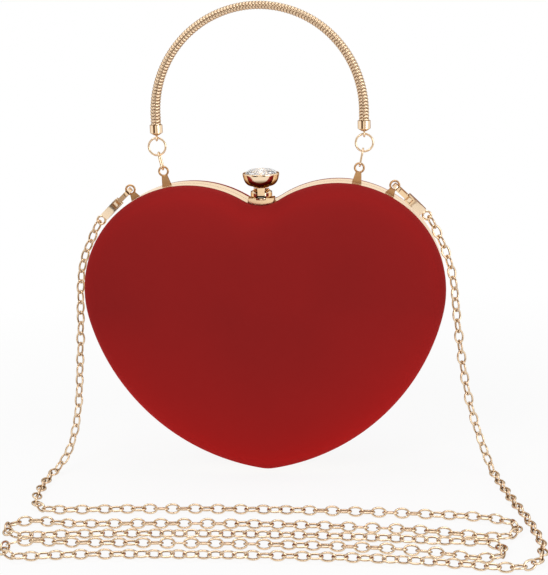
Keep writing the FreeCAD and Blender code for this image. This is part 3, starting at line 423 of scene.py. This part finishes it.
def gilt_finish(name, base, edge, rough, painted_shade_marked=False, seams=()):
    """Gold plating: a bright ground, fine wiping marks, faint finger marks, and painted shade in hollows and
    along seams.
    """
    film_share = 0.08
    finish = Finish(name)
    wiped = finish.noise(scale=1500.0, stretch=(1.0, 1.0, 0.12))
    film = finish.clamp(finish.noise(scale=45.0, detail=3.0), low=0.45, high=0.75)
    shade = film * film_share
    # Painted shade: marked hollows and the seam lines darken the gold towards its deep colour.
    if painted_shade_marked:
        shade = shade.most(finish.add("ShaderNodeAttribute", {"attribute_name": PAINTED_SHADE_ATTRIBUTE}, output="Fac"))
    for depths, width, seam_share in seams:
        shade = shade.most(finish.lines(depths, width) * seam_share)
    tone = finish.mix(shade, base, settings().finishes.gilt_marks_and_painted_shade)
    return finish.surface(
        Base_Color=tone, Metallic=1.0, Roughness=rough + film * 0.07 + wiped * 0.05,
        Normal=finish.bump(wiped, strength=0.05, relief=GILT_RELIEF), Specular_Tint=(*edge, 1.0))


def satin_finish(name, tones):
    """Woven satin: long floats one way, a fine weave across."""
    float_share, fold_share = 0.5, 0.35
    finish = Finish(name)
    floats = finish.noise(scale=1800.0, stretch=(1.0, 0.15, 0.15))
    folds = finish.noise(scale=60.0)
    tone = finish.mix(floats * float_share + folds * fold_share, tones.lining,
                      tinted(tones.lining, strength=1.9))
    return finish.surface(
        Base_Color=tone, Roughness=0.36 + floats * 0.2,
        Normal=finish.bump(floats, strength=0.3, relief=SATIN_RELIEF), Sheen_Weight=0.25,
        Sheen_Roughness=0.4, Sheen_Tint=(*tones.lining_nap, 1.0))


def moulded_finish(name, base):
    """Moulded board with a fine spark texture."""
    finish = Finish(name)
    spark = finish.noise(scale=1300.0)
    return finish.surface(
        Base_Color=finish.mix(spark, base, tinted(base, strength=1.4)), Roughness=0.5 + spark * 0.2,
        Normal=finish.bump(spark, strength=0.2, relief=BOARD_RELIEF))


def steel_finish(name, base):
    """Drawn steel with fine lines along it."""
    line_share = 0.4
    finish = Finish(name)
    drawn = finish.noise(scale=2200.0, stretch=(0.08, 1.0, 1.0))
    return finish.surface(
        Base_Color=finish.mix(drawn * line_share, base, tinted(base, strength=0.7)), Metallic=1.0,
        Roughness=0.24 + drawn * 0.18, Normal=finish.bump(drawn, strength=0.08, relief=STEEL_RELIEF))


def stone_finish(name, base):
    """Clear cut glass with a faint cloud in it."""
    finish = Finish(name)
    cloud = finish.noise(scale=300.0)
    return finish.surface(
        Base_Color=finish.mix(cloud, base, tinted(base, strength=0.93)), Roughness=0.01 + cloud * 0.02,
        Transmission_Weight=0.82, IOR=1.62)


def wear(piece, material):
    """Gives a piece one material."""
    piece.data.materials.clear()
    piece.data.materials.append(material)


def skin(name, points, faces, smooth=True):
    """A mesh of the given points and faces."""
    mesh = bpy.data.meshes.new(name)
    mesh.from_pydata([tuple(point) for point in points], [], faces)
    mesh.validate()
    if smooth:
        mesh.polygons.foreach_set("use_smooth", [True] * len(mesh.polygons))
    mesh.update()
    return mesh


def add_piece(mesh, material, body, slot, *replaced):
    """A piece of the purse, named as its mesh, that rides on a body and stands for CAD nodes."""
    piece = bpy.data.objects.new(mesh.name, mesh)
    bpy.context.scene.collection.objects.link(piece)
    wear(piece, material)
    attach(piece, body)
    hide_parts(*replaced)
    return piece


def mark_painted_shade(piece, depths):
    """Keeps a painted shade from 0 to 1 at each point, for the gilt to darken by."""
    mark = piece.data.attributes.new(PAINTED_SHADE_ATTRIBUTE, "FLOAT", "POINT")
    mark.data.foreach_set("value", depths)


def ring_faces(rings, around, capped=False):
    """Quads between closed rings of points that are stored one after another, with end faces if capped."""
    faces = []
    for ring in range(rings - 1):
        low, high = ring * around, (ring + 1) * around
        for index in range(around):
            after = (index + 1) % around
            faces.append((low + index, low + after, high + after, high + index))
    if capped:
        faces.append(tuple(reversed(range(around))))
        faces.append(tuple(range((rings - 1) * around, rings * around)))
    return faces


class HeartOutline:
    """The heart's rim as tangent arcs, read as evenly spaced points."""

    def __init__(self, sizes):
        self.sizes = sizes
        self.lobe = Vector((sizes.half_width - sizes.lobe_radius, sizes.height - sizes.lobe_radius))
        self.tip = Vector((0.0, sizes.tip_radius))
        rise = math.sqrt((sizes.lobe_radius + sizes.notch_radius) ** 2 - self.lobe.x ** 2)
        self.notch = Vector((0.0, self.lobe.y + rise))
        near = sizes.flank_radius - sizes.lobe_radius
        far = sizes.flank_radius - sizes.tip_radius
        apart = self.tip - self.lobe
        along = (near ** 2 - far ** 2 + apart.length_squared) / (2 * apart.length)
        unit = apart.normalized()
        across = Vector((-unit.y, unit.x)) * math.sqrt(near ** 2 - along ** 2)
        options = (self.lobe + unit * along + across, self.lobe + unit * along - across)
        self.flank = min(options, key=lambda spot: spot.x)

    def arcs(self):
        """Centre, radius, start and end angle of the right-hand arcs, from the notch down to the tip."""
        down = math.atan2(self.lobe.y - self.notch.y, self.lobe.x)
        side = math.atan2(self.lobe.y - self.flank.y, self.lobe.x - self.flank.x)
        low = math.atan2(self.tip.y - self.flank.y, self.tip.x - self.flank.x)
        sizes = self.sizes
        return (
            (self.notch, sizes.notch_radius, -math.pi / 2, down),
            (self.lobe, sizes.lobe_radius, math.pi + down, side),
            (self.flank, sizes.flank_radius, side, low),
            (self.tip, sizes.tip_radius, low, -math.pi / 2),
        )

    def half(self, points):
        """Right half of the rim, and the outward direction at each point, evenly spaced."""
        arcs = self.arcs()
        lengths = [radius * abs(end - start) for _, radius, start, end in arcs]
        whole = sum(lengths)
        spots, normals = [], []
        for step in range(points + 1):
            distance = whole * step / points
            for index, (centre, radius, start, end) in enumerate(arcs):
                if distance <= lengths[index] or index == len(arcs) - 1:
                    break
                distance -= lengths[index]
            turn = start + (end - start) * min(1.0, distance / lengths[index])
            ray = Vector((math.cos(turn), math.sin(turn)))
            spots.append(centre + ray * radius)
            normals.append(-ray if index == 0 else ray)
        return spots, normals

    def whole(self, points):
        """The full rim, clockwise from the notch."""
        spots, normals = self.half(points)
        left_spots = [Vector((-spot.x, spot.y)) for spot in reversed(spots[1:-1])]
        left_normals = [Vector((-ray.x, ray.y)) for ray in reversed(normals[1:-1])]
        return spots + left_spots, normals + left_normals


def dome_rings(below, roll, rings, half_points, ripple=None):
    """Points of a dome at a depth below its skin, ring by ring from a rolled rim to the crown."""
    roll_rings = 5
    crown_ease = 4
    sizes = settings().heart
    spots, normals = HeartOutline(sizes).whole(half_points)
    centre = Vector((0.0, sizes.crown))
    base = LOBE_TOP - sizes.height
    points = []
    for ring in range(roll_rings if roll else 0):
        turn = math.pi / 2 * ring / roll_rings
        inset, deep = roll * (1 - math.sin(turn)), roll * (1 - math.cos(turn))
        for spot, ray in zip(spots, normals):
            flat = spot - ray * inset
            points.append(Vector((flat.x, FRONT_RIM - deep, base + flat.y)))
    first = math.asin((roll / sizes.depth) ** (sizes.bulge / 2))
    for ring in range(rings):
        turn = first + (math.pi / 2 - first) * ring / (rings - 1)
        scale = max(0.0, math.cos(turn)) ** (2 / sizes.bulge)
        depth = math.sin(turn) ** (2 / sizes.bulge)
        slope = Vector((scale ** (sizes.bulge - 1) / sizes.crown, depth ** (sizes.bulge - 1) / sizes.depth))
        slope.normalize()
        for index, (spot, ray) in enumerate(zip(spots, normals)):
            wrinkle = ripple(index / len(spots), scale) if ripple else 0.0
            inset = (below + wrinkle) * slope.x
            flat = centre + (spot - centre) * scale - ray * min(inset, inset * scale * crown_ease)
            deep = max(0.0, sizes.depth * depth - (below + wrinkle) * slope.y)
            points.append(Vector((flat.x, FRONT_RIM - deep, base + flat.y)))
    return points, len(spots)


def crowned(points, around):
    """Points and faces of a dome whose last ring is drawn together in one point."""
    rings = len(points) // around
    crown = sum(points[-around:], Vector()) / around
    points = points[:-around] + [crown]
    faces = ring_faces(rings - 1, around)
    last = (rings - 2) * around
    for index in range(around):
        faces.append((last + index, last + (index + 1) % around, len(points) - 1))
    return points, [tuple(reversed(face)) for face in faces]


def thicken(piece, thickness):
    """Gives an open skin its thickness, inwards."""
    solid = piece.modifiers.new("cloth", "SOLIDIFY")
    solid.thickness = thickness
    solid.offset = -1.0
    solid.use_even_offset = False


def turned_to_rear(points, tuck=1.0):
    """The same half on the other side of the parting plane, drawn in towards its crown by a share."""
    crown = LOBE_TOP - settings().heart.height + settings().heart.crown
    return [Vector((-point.x * tuck, 2 * PARTING - point.y, crown + (point.z - crown) * tuck))
            for point in points]


class PURSE_OT_stage(bpy.types.Operator):
    """Adds the table, the light and the camera"""
    bl_idname = "purse.stage"
    bl_label = "Stage"
    bl_options = {"REGISTER", "UNDO"}

    def execute(self, context):
        self.make_table(settings().finishes.table)
        self.make_world()
        self.make_card()
        self.make_lamps()
        self.make_camera()
        return {"FINISHED"}

    def disc(self, name, reach, height, material):
        """A round flat sheet of the stage."""
        corners = 96
        turns = [2 * math.pi * corner / corners for corner in range(corners)]
        rim = [(reach * math.cos(turn), reach * math.sin(turn), height) for turn in turns]
        sheet = bpy.data.objects.new(name, skin(name, rim, [tuple(range(corners))], smooth=False))
        bpy.context.scene.collection.objects.link(sheet)
        wear(sheet, material)
        return sheet

    def make_table(self, tone):
        """A pale table that keeps a faint shadow and fades into the white backdrop."""
        reach, drop, fade_start = 0.46, 0.0002, 0.16
        fade_end_share, white_share = 0.96, 0.89
        finish = Finish("table_paper")
        edge = finish.clamp(finish.away(), low=fade_start, high=reach * fade_end_share)
        paper = finish.mix(finish.noise(scale=900.0), tone, tinted(tone, strength=0.985))
        matt = finish.add("ShaderNodeBsdfDiffuse", {}, {"Color": paper})
        shown = finish.direct_rays() * (white_share + edge * (1.0 - white_share))
        sheet = finish.add("ShaderNodeMixShader", {}, {0: shown, 1: matt, 2: finish.glow((*WHITE, 1.0))})
        self.disc("table", reach, CAD_LOW.z - drop, finish.close(sheet))

    def make_world(self):
        """White where it is seen or mirrored, and a soft room light elsewhere."""
        room_light = (0.38, 0.38, 0.38)
        world = bpy.data.worlds.new("studio")
        bpy.context.scene.world = world
        finish = Finish("studio", world)
        shown = finish.mix(finish.direct_rays(), room_light, WHITE)
        light = finish.add("ShaderNodeBackground", {}, {"Color": shown, "Strength": 1.0})
        finish.add("ShaderNodeOutputWorld", {}, {"Surface": light})

    def make_card(self):
        """A round upright card behind the camera, with dark and pale rings for polished metal to mirror."""
        reach, distance = 1.5, 0.9
        dark, brown = (0.02, 0.012, 0.008), (0.18, 0.07, 0.025)
        tan, cream = (0.82, 0.62, 0.40), (0.98, 0.89, 0.76)
        ring_shares = [(0.0, cream), (0.13, cream), (0.22, brown), (0.27, dark), (0.50, dark), (0.60, brown),
                       (0.78, tan), (0.97, WHITE)]
        finish = Finish("card_paper")
        away_share = finish.away() * (1.0 / reach)
        rings = finish.add("ShaderNodeValToRGB", {"stops": ring_shares}, {"Fac": away_share})
        card = self.disc("card", reach, 0.0, finish.close(finish.glow(rings)))
        card.location = (0.0, -distance, (CAD_LOW.z + CAD_HIGH.z) / 2)
        card.rotation_euler.x = math.pi / 2
        card.visible_camera = False
        card.visible_diffuse = False
        card.visible_transmission = False
        card.visible_shadow = False

    def make_lamps(self):
        """Soft boxes that face the purse: name, place, width and power."""
        middle = (CAD_LOW + CAD_HIGH) / 2
        boxes = (
            ("key_box", Vector((-0.40, -0.95, 0.45)), 0.45, 4.2),
            ("fill_box", Vector((0.75, -0.70, 0.00)), 0.45, 2.6),
            ("top_box", Vector((0.0, -0.05, 0.85)), 0.6, 3.0),
        )
        for name, place, width, power in boxes:
            lamp = bpy.data.lights.new(name, "AREA")
            lamp.size = width
            lamp.energy = power
            self.aim(bpy.data.objects.new(name, lamp), place, (middle - place).to_track_quat("-Z", "Y"))

    def make_camera(self):
        """The photograph's view: a little above, a little from the right, and slightly tilted."""
        focal_pixels, target_pixel = 1389.5, (265.8, 331.0)
        sensor_width, near_clip = 36.0, 0.01
        distance, below_lobes = 0.70, 0.075
        azimuth, elevation, roll = math.radians(6.0), math.radians(14.0), math.radians(-1.8)
        target = Vector((0.0, 0.0, LOBE_TOP - below_lobes))
        back = Vector((math.sin(azimuth) * math.cos(elevation), -math.cos(azimuth) * math.cos(elevation),
                       math.sin(elevation)))
        lens = bpy.data.cameras.new("photo_camera")
        lens.sensor_width = sensor_width
        lens.lens = focal_pixels * sensor_width / PHOTO_HEIGHT
        lens.shift_x = (PHOTO_WIDTH / 2 - target_pixel[0]) / PHOTO_HEIGHT
        lens.shift_y = (target_pixel[1] - PHOTO_HEIGHT / 2) / PHOTO_HEIGHT
        lens.clip_start = near_clip
        camera = bpy.data.objects.new("photo_camera", lens)
        tilt = Quaternion((0.0, 0.0, 1.0), roll)
        self.aim(camera, target + back * distance, (-back).to_track_quat("-Z", "Y") @ tilt)
        bpy.context.scene.camera = camera
        bpy.context.scene.view_settings.view_transform = "Standard"

    def aim(self, holder, place, turn):
        """Puts a lamp or the camera in its place."""
        holder.location = place
        holder.rotation_mode = "QUATERNION"
        holder.rotation_quaternion = turn
        bpy.context.scene.collection.objects.link(holder)


class PURSE_OT_strap(bpy.types.Operator):
    """Hangs and lays the link strap along its route"""
    bl_idname = "purse.strap"
    bl_label = "Strap"
    bl_options = {"REGISTER", "UNDO"}

    def execute(self, context):
        sizes, tones = settings().chain, settings().finishes
        line = self.spline_points(self.route())
        points, faces, hollow = self.links(self.joints(line, sizes.step), sizes)
        gilt = gilt_finish("strap_gilt", tones.gilt, tones.strap_edge, rough=0.10, painted_shade_marked=True)
        mesh = skin("strap_chain", points, faces)
        strap = add_piece(mesh, gilt, "front_half", "gilt", *STRAP_NODES)
        mark_painted_shade(strap, hollow)
        return {"FINISHED"}

    def route(self):
        """Control points from eye to eye, in metres."""
        rows = [(x, y, FLOOR_LINE) for x, y in FLOOR_ROWS]
        return [Vector(spot) * MM for spot in (LEFT_EYE, *LEFT_FALL, *rows, *RIGHT_FALL, RIGHT_EYE)]

    def spline_points(self, control):
        """Closely spaced points of a smooth spline that the control points draw."""
        curve = bpy.data.curves.new("strap_route", "CURVE")
        curve.dimensions = "3D"
        spline = curve.splines.new("NURBS")
        spline.points.add(len(control) - 1)
        for point, spot in zip(spline.points, control):
            point.co = (*spot, 1.0)
        spline.order_u = 3
        spline.use_endpoint_u = True
        spline.resolution_u = 24
        holder = bpy.data.objects.new("strap_route", curve)
        mesh = bpy.data.meshes.new_from_object(holder)
        points = [vertex.co.copy() for vertex in mesh.vertices]
        bpy.data.objects.remove(holder)
        bpy.data.meshes.remove(mesh)
        bpy.data.curves.remove(curve)
        return points

    def run(self, points):
        return sum((after - before).length for before, after in zip(points, points[1:]))

    def equal_steps(self, points, step):
        """Joints a straight step apart along closely spaced points."""
        halvings = 30
        joints = [points[0]]
        for before, after in zip(points, points[1:]):
            while (after - joints[-1]).length >= step:
                inside, outside = before, after
                for _ in range(halvings):
                    middle = (inside + outside) / 2
                    if (middle - joints[-1]).length < step:
                        inside = middle
                    else:
                        outside = middle
                joints.append(outside)
        return joints

    def joints(self, points, nominal):
        """Joints from end to end, with the step eased until an odd count of links fits."""
        halvings = 40
        links = len(self.equal_steps(points, nominal))
        if links % 2 == 0:
            links = links + 1
        short, long = nominal * (links - 1) / (links + 1), nominal
        for _ in range(halvings):
            step = (short + long) / 2
            if len(self.equal_steps(points, step)) > links:
                short = step
            else:
                long = step
        return self.equal_steps(points, short)[:links] + [points[-1]]

    def links(self, joints, sizes):
        """All links as one mesh, each a quarter turn from the last, slowly twisted to fit the far hook."""
        section, around = 10, 20
        # Painted shade on the wire: strongest on its inner side, where links touch, fainter along its outer
        # edge.
        inner_share, inner_power = 0.70, 1.5
        outer_share, outer_power = 0.30, 3
        outline = self.link_outline(sizes, around)
        ahead = [(after - before).normalized() for before, after in zip(joints, joints[1:])]
        across = Vector((0.0, 1.0, 0.0))
        squares = []
        for direction in ahead:
            across = (across - direction * across.dot(direction)).normalized()
            squares.append(across)
        wanted = Vector((0.0, 1.0 if across.y > 0 else -1.0, 0.0))
        wanted = (wanted - ahead[-1] * wanted.dot(ahead[-1])).normalized()
        twist = math.atan2(across.cross(wanted).dot(ahead[-1]), across.dot(wanted))
        points, faces, hollow = [], [], []
        for index, (direction, square) in enumerate(zip(ahead, squares)):
            quarter = math.pi / 2 if index % 2 else 0.0
            lean = sizes.roll + self.wander(index, len(squares)) * sizes.sway
            wide = Quaternion(direction, lean + quarter + twist * index / (len(squares) - 1)) @ square
            thin = direction.cross(wide)
            middle = (joints[index] + joints[index + 1]) / 2
            start = len(points)
            for (along, out), (ray_along, ray_out) in outline:
                spot = middle + direction * along + wide * out
                ray = direction * ray_along + wide * ray_out
                for corner in range(section):
                    turn = 2 * math.pi * corner / section
                    outward = math.cos(turn)
                    points.append(spot + (ray * outward + thin * math.sin(turn)) * sizes.wire)
                    inner = inner_share * max(0.0, -outward) ** inner_power
                    hollow.append(inner + outer_share * max(0.0, outward) ** outer_power)
            for ring in range(around):
                here, after = start + ring * section, start + (ring + 1) % around * section
                for corner in range(section):
                    beside = (corner + 1) % section
                    faces.append((here + corner, after + corner, after + beside, here + beside))
        return points, faces, hollow

    def wander(self, index, links):
        """How far a link leans, as a share of the sway: slow waves that die out at the hooks."""
        settling_links = 8
        wave_shares = ((0.6, 0.37, 0.0), (0.4, 0.91, 1.3))
        held = min(1.0, index / settling_links, (links - 1 - index) / settling_links)
        return held * sum(size * math.sin(index * pace + start) for size, pace, start in wave_shares)

    def link_outline(self, sizes, around):
        """An oval link's middle line and its outward rays, as pairs of (along, out)."""
        half_length, half_width = sizes.link_length / 2, sizes.link_width / 2
        outline = []
        for step in range(around):
            turn = 2 * math.pi * step / around
            spot = Vector((half_length * math.cos(turn), half_width * math.sin(turn)))
            ray = Vector((math.cos(turn) / half_length, math.sin(turn) / half_width))
            outline.append((spot, ray.normalized()))
        return outline


class PURSE_OT_velvet(bpy.types.Operator):
    """Covers both domes with velvet"""
    bl_idname = "purse.velvet"
    bl_label = "Velvet covers"
    bl_options = {"REGISTER", "UNDO"}

    def execute(self, context):
        rings, half_points = 72, 150
        sizes = settings().heart
        velvet = velvet_finish("red_velvet", settings().finishes)
        points, around = dome_rings(0.0, sizes.roll, rings, half_points)
        for half, spots in (("front", points), ("rear", turned_to_rear(points, sizes.rear_tuck))):
            mesh = skin(f"{half}_velvet_cover", *crowned(spots, around))
            cover = add_piece(mesh, velvet, f"{half}_half", "velvet", f"{half}_velvet")
            thicken(cover, sizes.pile * sizes.pile_share)
        return {"FINISHED"}


class PURSE_OT_lining(bpy.types.Operator):
    """Lines both halves with gathered satin"""
    bl_idname = "purse.lining"
    bl_label = "Linings"
    bl_options = {"REGISTER", "UNDO"}

    def execute(self, context):
        rings, half_points = 40, 480
        sizes = settings().heart
        satin = satin_finish("lining_satin", settings().finishes)
        points, around = dome_rings(sizes.lining_depth, 0.0, rings, half_points, self.gathers)
        for half, spots in (("front", points), ("rear", turned_to_rear(points))):
            mesh = skin(f"{half}_satin_lining", *crowned(spots, around))
            sheet = add_piece(mesh, satin, f"{half}_half", "lining", f"{half}_lining")
            thicken(sheet, sizes.lining * sizes.lining_share)
        return {"FINISHED"}

    def gathers(self, around_share, rim_share):
        """Height of the gathers at a place round the heart, fading from the rim towards the crown."""
        start_share = 0.55
        sizes = settings().heart
        fade = max(0.0, rim_share - start_share) / (1.0 - start_share)
        return sizes.gather * fade * (1.0 + math.sin(2 * math.pi * sizes.gathers * around_share))


class PURSE_OT_handle(bpy.types.Operator):
    """Weaves the snake-chain handle"""
    bl_idname = "purse.handle"
    bl_label = "Handle"
    bl_options = {"REGISTER", "UNDO"}

    def execute(self, context):
        sizes, tones = settings().handle, settings().finishes
        points, hollow, around = self.scales(sizes)
        faces = ring_faces(len(points) // around, around, capped=True)
        gilt = gilt_finish("snake_gilt", tones.gilt, tones.gilt_edge, rough=0.17, painted_shade_marked=True)
        mesh = skin("snake_handle", points, faces)
        snake = add_piece(mesh, gilt, "handle", "gilt", "handle_snake")
        mark_painted_shade(snake, hollow)
        return {"FINISHED"}

    def scales(self, sizes):
        """Rings of points along the chain, with how deep each point lies in its groove, which also sets its
        painted shade.
        """
        scale_points, pit_share, pit_power = 8, 0.35, 4
        # Shares of a scale's length and of the groove's depth.
        profile_shares = ((0.0, 1.0), (0.10, 0.55), (0.28, 0.10), (0.5, 0.0), (0.72, 0.10), (0.90, 0.55))
        whole = math.pi * sizes.arch + 2 * sizes.leg
        ribs = round(whole / sizes.pitch)
        pitch = whole / ribs
        around = scale_points * sizes.columns
        points, hollow = [], []
        for rib in range(ribs):
            for along_share, deep_share in profile_shares:
                for corner in range(around):
                    column = (corner / scale_points) % 1.0
                    peak = 1.0 - abs(2.0 * column - 1.0)
                    along = (rib + along_share) * pitch + (peak - 0.5) * sizes.wave
                    pit = abs(2.0 * peak - 1.0) ** pit_power
                    deep = min(1.0, deep_share + pit_share * pit * (1.0 - deep_share))
                    bearing = 2 * math.pi * corner / around
                    points.append(self.spot(sizes, min(max(along, 0.0), whole), bearing,
                                            sizes.radius - sizes.groove * deep))
                    hollow.append(deep)
        return points, hollow, around

    def spot(self, sizes, along, bearing, radius):
        """A point of the chain's surface: so far along, at a bearing and a radius from its middle line."""
        centre_z = sizes.radius - sizes.arch
        bend = math.pi * sizes.arch
        if along < sizes.leg:
            middle = Vector((-sizes.arch, 0.0, centre_z - sizes.leg + along))
            out = Vector((-1.0, 0.0, 0.0))
        elif along > sizes.leg + bend:
            middle = Vector((sizes.arch, 0.0, centre_z - (along - sizes.leg - bend)))
            out = Vector((1.0, 0.0, 0.0))
        else:
            turn = (along - sizes.leg) / sizes.arch
            out = Vector((-math.cos(turn), 0.0, math.sin(turn)))
            middle = Vector((0.0, 0.0, centre_z)) + out * sizes.arch
            radius *= 1.0 - (1.0 - sizes.apex_share) * math.sin(turn)
        return middle + (out * math.cos(bearing) + Vector((0.0, 1.0, 0.0)) * math.sin(bearing)) * radius


class PURSE_OT_clasp(bpy.types.Operator):
    """Turns the clasp's cup, sets its stone and bends its spring"""
    bl_idname = "purse.clasp"
    bl_label = "Clasp"
    bl_options = {"REGISTER", "UNDO"}

    def execute(self, context):
        sizes, tones = settings().clasp, settings().finishes
        self.make_cup(gilt_finish("clasp_gilt", tones.gilt, tones.gilt_edge, rough=0.10, painted_shade_marked=True))
        self.make_stone(sizes, stone_finish("cut_stone", tones.stone))
        self.make_spring(sizes, steel_finish("spring_steel", tones.steel))
        return {"FINISHED"}

    def make_cup(self, gilt):
        """A turned bucket on a narrow neck, with painted shade round its lower bowl."""
        low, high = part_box("clasp_cup")
        middle = (low + high) / 2
        radius, tall = (high.x - low.x) / 2, high.z - low.z
        # Shares of the radius and the height, up the outside and down the inside.
        profile_shares = (
            (0.0, 0.0), (0.30, 0.0), (0.415, 0.01), (0.44, 0.06), (0.45, 0.11), (0.60, 0.13), (0.73, 0.19),
            (0.84, 0.31), (0.92, 0.47), (0.965, 0.68), (0.985, 0.80), (1.0, 0.88), (1.0, 0.97), (0.985, 1.0),
            (0.93, 1.0), (0.905, 0.97), (0.905, 0.80), (0.62, 0.50), (0.37, 0.315), (0.0, 0.315),
        )
        # Painted shade on the lower bowl, in place of a dark reflection there.
        painted_shade_rows, painted_shade_share = range(5, 9), 0.92
        least_share, around = 0.001, 96
        points, hollow = [], []
        for row, (out_share, up_share) in enumerate(profile_shares):
            out = max(out_share, least_share) * radius
            for corner in range(around):
                turn = 2 * math.pi * corner / around
                points.append(Vector((out * math.cos(turn), middle.y + out * math.sin(turn),
                                      low.z + up_share * tall)))
                hollow.append(painted_shade_share if row in painted_shade_rows else 0.0)
        mesh = skin("clasp_jewel_cup", points, ring_faces(len(profile_shares), around, capped=True))
        cup = add_piece(mesh, gilt, "clasp", "gilt", "clasp_cup")
        mark_painted_shade(cup, hollow)
        rounded = cup.modifiers.new("rounded", "SUBSURF")
        rounded.levels = 1
        rounded.render_levels = 1

    def make_stone(self, sizes, stone):
        """A brilliant: table, star and main facets, girdle and a shallow pavilion, as one convex hull."""
        seat_share, flat_angle = 0.985, math.radians(1.0)
        low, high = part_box("clasp_crystal")
        middle = (low + high) / 2
        radius, tall = (high.x - low.x) / 2 * seat_share, high.z - low.z
        # Shares of the radius and the height, points to each main facet, and the turn as a share of a point.
        ring_shares = ((0.46, 0.0, 1, 0.0), (0.97, 0.50, 2, 0.25), (1.0, 0.56, 2, 0.25),
                       (1.0, 0.66, 2, 0.25), (0.92, 0.88, 1, 0.5), (0.72, 1.0, 1, 0.0))
        shape = bmesh.new()
        for out_share, up_share, times, turn_share in ring_shares:
            corners = sizes.facets * times
            for corner in range(corners):
                turn = 2 * math.pi * (corner / corners + turn_share / corners)
                shape.verts.new((middle.x + radius * out_share * math.cos(turn),
                                 middle.y + radius * out_share * math.sin(turn), low.z + up_share * tall))
        bmesh.ops.convex_hull(shape, input=shape.verts)
        bmesh.ops.dissolve_limit(shape, angle_limit=flat_angle, verts=shape.verts, edges=shape.edges)
        mesh = bpy.data.meshes.new("clasp_cut_stone")
        shape.to_mesh(mesh)
        shape.free()
        add_piece(mesh, stone, "clasp", "crystal", "clasp_crystal")

    def make_spring(self, sizes, steel):
        """The leaf under the lever: flat at its foot at the front, then rising in a straight slope to its
        back.
        """
        steps = 16
        low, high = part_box("clasp_spring")
        deep = high.y - low.y
        under = []
        for step in range(steps + 1):
            along = deep * step / steps
            lift = max(0.0, along - sizes.spring_foot) / (deep - sizes.spring_foot)
            under.append((low.y + along, low.z + (high.z - low.z - sizes.spring_leaf) * lift))
        outline = under + [(along, up + sizes.spring_leaf) for along, up in reversed(under)]
        points = [Vector((side, along, up)) for side in (low.x, high.x) for along, up in outline]
        mesh = skin("clasp_leaf_spring", points, ring_faces(2, len(outline), capped=True), smooth=False)
        spring = add_piece(mesh, steel, "front_half", "steel", "clasp_spring")
        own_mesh(spring)


class PURSE_OT_metal(bpy.types.Operator):
    """Finishes the frames, fittings, shells and pins"""
    bl_idname = "purse.metal"
    bl_label = "Frames and fittings"
    bl_options = {"REGISTER", "UNDO"}

    def execute(self, context):
        sizes, tones = settings().fittings, settings().finishes
        # Painted shade: a line in the gap between the two frames, and one where each frame meets its velvet.
        parting_share, rim_share = 0.45, 0.9
        seams = (((PARTING,), sizes.parting_seam, parting_share),
                 ((FRONT_RIM, REAR_RIM), sizes.rim_seam, rim_share))
        gilt = gilt_finish("fitting_gilt", tones.gilt, tones.gilt_edge, rough=0.12)
        band = gilt_finish("band_gilt", tones.gilt, tones.band_edge, rough=0.20, seams=seams)
        # The tabs wear a darker copy of the gilt, as painted shade for their dull reflection.
        tab_painted_shade_gilt = gilt_finish("tab_gilt", tones.tab_painted_shade_gilt, tones.gilt_edge, rough=0.26)
        shell = moulded_finish("shell_board", tones.shell)
        steel = steel_finish("pin_steel", tones.steel)
        # The gates keep crisp edges, because they turn close inside their hooks.
        groups = ((GILT_NODES, gilt, sizes.edge), (TAB_NODES, tab_painted_shade_gilt, sizes.edge), (GATE_NODES, gilt, 0.0),
                  (BAND_NODES, band, 0.0), (SHELL_NODES, shell, 0.0), (STEEL_NODES, steel, 0.0))
        for names, material, edge in groups:
            for name in names:
                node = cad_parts[name]
                wear(node, material)
                self.soften(node, edge)
        return {"FINISHED"}

    def soften(self, node, edge):
        """Shades a fitting's curves smoothly, and rounds its edges or keeps them crisp."""
        crisp_angle, round_angle = math.radians(32.0), math.radians(35.0)
        weld_share, flat_weight = 0.02, 100
        node.data.polygons.foreach_set("use_smooth", [True] * len(node.data.polygons))
        if not edge:
            split = node.modifiers.new("edges", "EDGE_SPLIT")
            split.split_angle = crisp_angle
            return
        joined = node.modifiers.new("joined", "WELD")
        joined.merge_threshold = edge * weld_share
        rounded = node.modifiers.new("rounded", "BEVEL")
        rounded.width = edge
        rounded.segments = 2
        rounded.limit_method = "ANGLE"
        rounded.angle_limit = round_angle
        even = node.modifiers.new("even", "WEIGHTED_NORMAL")
        even.mode = "FACE_AREA"
        even.weight = flat_weight


class PURSE_PT_panel(bpy.types.Panel):
    """Lists the purse's pieces"""
    bl_label = "Heart Purse"
    bl_idname = "PURSE_PT_panel"
    bl_space_type = "VIEW_3D"
    bl_region_type = "UI"
    bl_category = "Heart Purse"

    def draw(self, context):
        column = self.layout.column()
        for operator in OPERATORS:
            column.operator(operator.bl_idname)


OPERATORS = (PURSE_OT_stage, PURSE_OT_strap, PURSE_OT_velvet, PURSE_OT_lining, PURSE_OT_handle,
             PURSE_OT_clasp, PURSE_OT_metal)
CLASSES = (HeartSizes, HandleSizes, ClaspSizes, ChainSizes, FittingSizes, Finishes, PurseSettings,
           *OPERATORS, PURSE_PT_panel)


def register():
    for each in CLASSES:
        bpy.utils.register_class(each)
    bpy.types.Scene.heart_purse = bpy.props.PointerProperty(type=PurseSettings)


def unregister():
    del bpy.types.Scene.heart_purse
    for each in reversed(CLASSES):
        bpy.utils.unregister_class(each)


def main():
    """Builds every piece in order."""
    register()
    bpy.ops.purse.stage()
    bpy.ops.purse.strap()
    bpy.ops.purse.velvet()
    bpy.ops.purse.lining()
    bpy.ops.purse.handle()
    bpy.ops.purse.clasp()
    bpy.ops.purse.metal()


if __name__ == "__main__":
    main()
